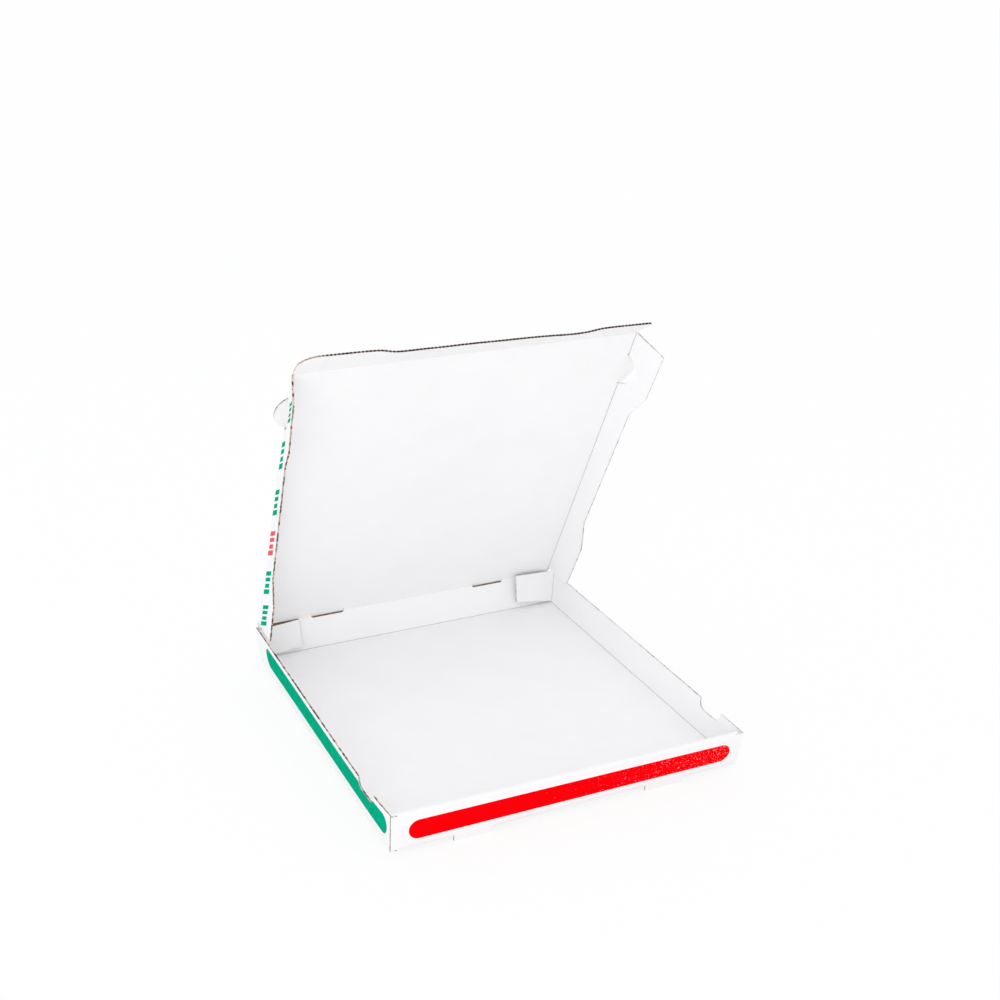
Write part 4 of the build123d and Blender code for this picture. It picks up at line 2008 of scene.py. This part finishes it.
@dataclass
class TuckFlap:
    """Front flap of the lid, bent by handling, with one large and one small round corner.

    Rows of bends, dents and hollows hold a place, a width and a rise: degrees of fold for bends
    and dents, millimetres off the free edge for hollows. The waver is a reach, a wave and a spread.
    """

    blank: Blank
    paints: Paints
    depth: float = 28.0
    end_gap: float = 0.5
    left_corner: float = 16.0
    right_corner: float = 4.0
    left_fold: float = 24.0
    right_fold: float = 33.5
    bends: tuple[tuple[float, float, float], ...] = ((-80.0, 5.0, 4.4), (95.0, 7.0, -3.0))
    dents: tuple[tuple[float, float, float], ...] = ((-67.0, 14.0, 0.8), (76.0, 18.0, 1.8))
    hollows: tuple[tuple[float, float, float], ...] = ((-45.0, 34.0, 1.6), (35.0, 30.0, 0.9))
    waver: tuple[float, float, float] = (0.25, 7.3, 110.0)

    @property
    def half_width(self) -> float:
        """Half the width of the flap."""
        return self.blank.crease_x - self.end_gap

    def fold(self, x: Array) -> Array:
        """Fold angle, with soft steps and dents.

        Args:
            x: places across the lid.

        Returns:
            Even growth from left to right, a sum of tanh steps and a sum of humps, in radians.
        """
        share = (x / self.half_width + 1) / 2
        even = self.left_fold + (self.right_fold - self.left_fold) * share
        steps = sum(rise * (1 + np.tanh((x - place) / width)) / 2
                    for place, width, rise in self.bends)
        return np.radians(even + steps + humps(x, self.dents))

    def frame(self, x: Array) -> tuple[Array, Array, Array]:
        """Frame of the shut flap.

        Args:
            x: places across the lid.

        Returns:
            Crease points, outward directions (-cos fold, -sin fold) and normals.
        """
        b = self.blank
        fold = self.fold(x)
        flat = np.zeros_like(fold)
        crease = np.stack([x, flat + b.hinge_y - b.lid_length, flat + b.hinge_z], axis=-1)
        out = np.stack([flat, -np.cos(fold), -np.sin(fold)], axis=-1)
        return crease, out, np.stack([flat, -np.sin(fold), np.cos(fold)], axis=-1)

    def dip(self, x: Array) -> Array:
        """How much the free edge falls short along its length.

        Args:
            x: places across the lid.

        Returns:
            A sum of soft hollows, and a fine sine waver that fades towards the ends.
        """
        reach, wave, spread = self.waver
        waver = reach * (1 + np.sin(x / wave)) * np.exp(-((x / spread) ** 4))
        return humps(x, self.hollows) + waver

    def sheet(self, step: float, steps: int) -> Surface:
        """The whole flap from crease to free edge.

        Args:
            step: distance between stations.
            steps: rows from one to the other.

        Returns:
            crease + out d at each station; flutes run out across it.
        """
        w = self.half_width
        turn = 1 - np.cos(np.linspace(0, np.pi / 2, TUCK_CORNER_POINTS))
        corners = [-w + self.left_corner * turn, w - self.right_corner * turn]
        x = stations(-w, w, step, np.concatenate(corners))
        cut = corner_cut(x + w, self.left_corner) + corner_cut(w - x, self.right_corner)
        end = self.depth - self.dip(x) - cut
        d = FLAP_START + (end - FLAP_START)[:, None] * np.linspace(0, 1, steps)
        crease, out, normal = self.frame(x)
        points = crease[:, None] + out[:, None] * d[..., None]
        normals = np.broadcast_to(normal[:, None], points.shape)
        across = np.broadcast_to(x[:, None], d.shape)
        return Surface(points, normals, across).swung(self.blank)

    def crease(self) -> Surface:
        """Creased board between the lid's plate and the flap.

        Returns:
            A bent strip from the plate to the flap, turned with the lid.
        """
        b = self.blank
        x = stations(-self.half_width, self.half_width, CREASE_STEP)
        crease, out, _ = self.frame(x)
        plate = crease + [0.0, b.half + b.hinge_gap + CREASE_LAP, 0.0]
        flap = crease + out * (FLAP_START + CREASE_LAP)
        return bent_strip(plate, crease, flap, np.array([-1.0, 0.0, 0.0]), 0 * x).swung(b)

    def build(self) -> None:
        """Build and dress the flap's board, its flutes and its crease."""
        board, flutes, crease = (BoardMesh(self.blank) for _ in range(3))
        board.liners(self.sheet(RIM_STEP, BOARD_ROWS))
        flutes.flutes(self.sheet(TUCK_FLUTE_STEP, TUCK_FLUTE_ROWS))
        settle(board.write("tuck_board", self.paints.tuck), "tuck", "tuck_flap")
        settle(flutes.write("tuck_flutes", [self.paints.flute_ends]), "tuck")
        crease.solid(self.crease(), CREASE_THICKNESS)
        piece = crease.write("tuck_crease", self.paints.board)
        strip = self.crease().points
        bend_between(piece, strip[len(strip) // 2])


def plain_rays(tree: bpy.types.NodeTree) -> Socket:
    """Find the rays that see the plain background.

    Args:
        tree: node tree of a material or a world.

    Returns:
        Socket with the largest of its camera, glossy and transmission rays.
    """
    rays = tree.nodes.new("ShaderNodeLightPath").outputs
    largest = rays["Is Camera Ray"]
    for name in ("Is Glossy Ray", "Is Transmission Ray"):
        node = tree.nodes.new("ShaderNodeMath")
        node.operation = "MAXIMUM"
        tree.links.new(largest, node.inputs[0])
        tree.links.new(rays[name], node.inputs[1])
        largest = node.outputs[0]
    return largest


def show_mixed(tree: bpy.types.NodeTree, output: bpy.types.Node,
               sockets: tuple[Socket, Socket, Socket]) -> None:
    """Show two shaders mixed at an output node.

    Args:
        tree: the node tree.
        output: its output node.
        sockets: share of the second shader, first shader, second shader.
    """
    mix = tree.nodes.new("ShaderNodeMixShader")
    for slot, socket in enumerate(sockets):
        tree.links.new(socket, mix.inputs[slot])
    tree.links.new(mix.outputs[0], output.inputs["Surface"])


@dataclass
class Studio:
    """Pale floor, soft light and the camera: lengths in millimetres, the lamp's in metres."""

    camera_place: tuple[float, float, float] = (-458.3, -1014.6, 637.4)
    camera_target: tuple[float, float, float] = (23.08, 12.08, 100.0)
    camera_roll: float = 0.443
    lens: float = 53.03
    sensor: float = 36.0
    shift: tuple[float, float] = (-0.002, 0.094)
    sight: float = 100000.0
    floor_height: float = -4.4
    floor_size: float = 30000.0
    floor_colour: Colour = (0.95, 0.95, 0.95)
    floor_roughness: float = 0.9
    floor_glow: float = 0.85
    world_colour: Colour = (0.985, 0.99, 1.0)
    world_strength: float = 1.01
    key_place: tuple[float, float, float] = (-1.5, -1.7, 0.5)
    key_target: tuple[float, float, float] = (0.0, 0.0, 0.1)
    key_size: float = 1.6
    key_power: float = 8.0

    def build(self) -> None:
        """Set up floor, world, lamp and camera."""
        bpy.context.scene.view_settings.view_transform = "Standard"
        self.build_floor()
        self.build_world()
        self.build_key()
        self.build_camera()

    def build_floor(self) -> None:
        """A wide pale floor that shows white to the camera and keeps a soft shadow."""
        s, z = self.floor_size * MM, self.floor_height * MM
        mesh = bpy.data.meshes.new("floor")
        mesh.from_pydata([(-s, -s, z), (s, -s, z), (s, s, z), (-s, s, z)], [], [(0, 1, 2, 3)])
        nodes = Nodes("floor_white")
        nodes.shader.inputs["Base Color"].default_value = (*self.floor_colour, 1.0)
        nodes.shader.inputs["Roughness"].default_value = self.floor_roughness
        glow = nodes.add("ShaderNodeEmission")
        share = nodes.math("MULTIPLY", plain_rays(nodes.tree), self.floor_glow)
        show_mixed(nodes.tree, nodes.output, (share, nodes.shader.outputs[0], glow.outputs[0]))
        mesh.materials.append(nodes.material)
        floor = bpy.data.objects.new("floor", mesh)
        bpy.context.scene.collection.objects.link(floor)

    def build_world(self) -> None:
        """Even white light, plain white to the camera."""
        world = bpy.data.worlds.new("studio")
        bpy.context.scene.world = world
        world.use_nodes = True
        tree = world.node_tree
        soft = tree.nodes["Background"]
        soft.inputs["Color"].default_value = (*self.world_colour, 1.0)
        soft.inputs["Strength"].default_value = self.world_strength
        plain = tree.nodes.new("ShaderNodeBackground")
        plain.inputs["Color"].default_value = (1.0, 1.0, 1.0, 1.0)
        show_mixed(tree, tree.nodes["World Output"],
                   (plain_rays(tree), soft.outputs[0], plain.outputs[0]))

    def build_key(self) -> None:
        """One large soft lamp, in front and to the left."""
        lamp = bpy.data.lights.new("key", "AREA")
        lamp.shape, lamp.size, lamp.energy = "DISK", self.key_size, self.key_power
        key = bpy.data.objects.new("key", lamp)
        key.location = self.key_place
        facing = (Vector(self.key_target) - key.location).to_track_quat("-Z", "Y")
        key.rotation_euler = facing.to_euler()
        bpy.context.scene.collection.objects.link(key)

    def build_camera(self) -> None:
        """Camera at the picture's viewing angle."""
        data = bpy.data.cameras.new("camera")
        data.lens, data.sensor_width = self.lens, self.sensor
        data.shift_x, data.shift_y = self.shift
        data.clip_end = self.sight * MM
        camera = bpy.data.objects.new("camera", data)
        place, target = Vector(self.camera_place) * MM, Vector(self.camera_target) * MM
        camera.location = place
        turn = (target - place).to_track_quat("-Z", "Y").to_matrix().to_4x4()
        turn = turn @ Matrix.Rotation(np.radians(self.camera_roll), 4, "Z")
        camera.rotation_euler = turn.to_euler()
        bpy.context.scene.collection.objects.link(camera)
        bpy.context.scene.camera = camera


def make_paints(blank: Blank) -> Paints:
    """Make every finish of the box once.

    Args:
        blank: gives the flute pitch.

    Returns:
        The finished materials.
    """
    return Paints(
        outer=LinerFinish("liner_white", pale=(0.925, 0.923, 0.926), dull=(0.9, 0.898, 0.902),
                          roughness=0.75, ridge=0.15).make(blank),
        inner=LinerFinish("liner_inside", pale=(0.94, 0.935, 0.939), dull=(0.92, 0.915, 0.92),
                          roughness=0.8, ridge=0.12).make(blank),
        cut=KraftFinish("liner_cut", (0.82, 0.76, 0.7), (0.66, 0.57, 0.5)).make(),
        rim=RimFinish("worn_rim", pale=(0.82, 0.7, 0.63), dark=(0.16, 0.09, 0.07),
                      worn_pale=(0.84, 0.82, 0.81), worn_dark=(0.42, 0.38, 0.37)).make(),
        # The dark colour of the flute ends is painted shade of the flute hollows.
        flute_ends=FluteEndFinish("flute_ends", (0.8, 0.66, 0.6), (0.07, 0.035, 0.03)).make(blank),
        medium=KraftFinish("kraft_medium", (0.3, 0.19, 0.13), (0.14, 0.08, 0.055)).make(),
        # The crease finish paints a line of shade along the middle of each crease.
        crease=CreaseShadeFinish("crease_painted_shade", (0.905, 0.9, 0.91), (0.45, 0.44, 0.45), 0.8).make(),
        red=InkFinish("red_ink", (0.95, 0.0005, 0.002), (0.9, 0.001, 0.006), 0.275).make(),
        red_flap=InkFinish("red_ink_thin", (0.88, 0.085, 0.1), (0.88, 0.16, 0.18), 0.2).make(),
        green=InkFinish("green_ink", (0.002, 0.44, 0.25), (0.004, 0.33, 0.18), 0.2).make(),
    )


def main() -> None:
    """Build the box and the studio, and report each piece."""
    logging.basicConfig(level=logging.INFO, format="%(message)s")
    paints = make_paints(BLANK)
    lid = Lid(BLANK, paints)
    Tray(BLANK, paints).build()
    lid.build()
    left_flap = SideFlap(BLANK, paints, lid, Side.LEFT, rear_fold=94.0, front_fold=75.0)
    left_flap.build()
    left_flap.print_blocks()
    right_flap = SideFlap(BLANK, paints, lid, Side.RIGHT, rear_fold=83.5, front_fold=61.0,
                          front_taper=6.0)
    right_flap.build()
    TuckFlap(BLANK, paints).build()
    Studio().build()


if __name__ == "__main__":
    main()
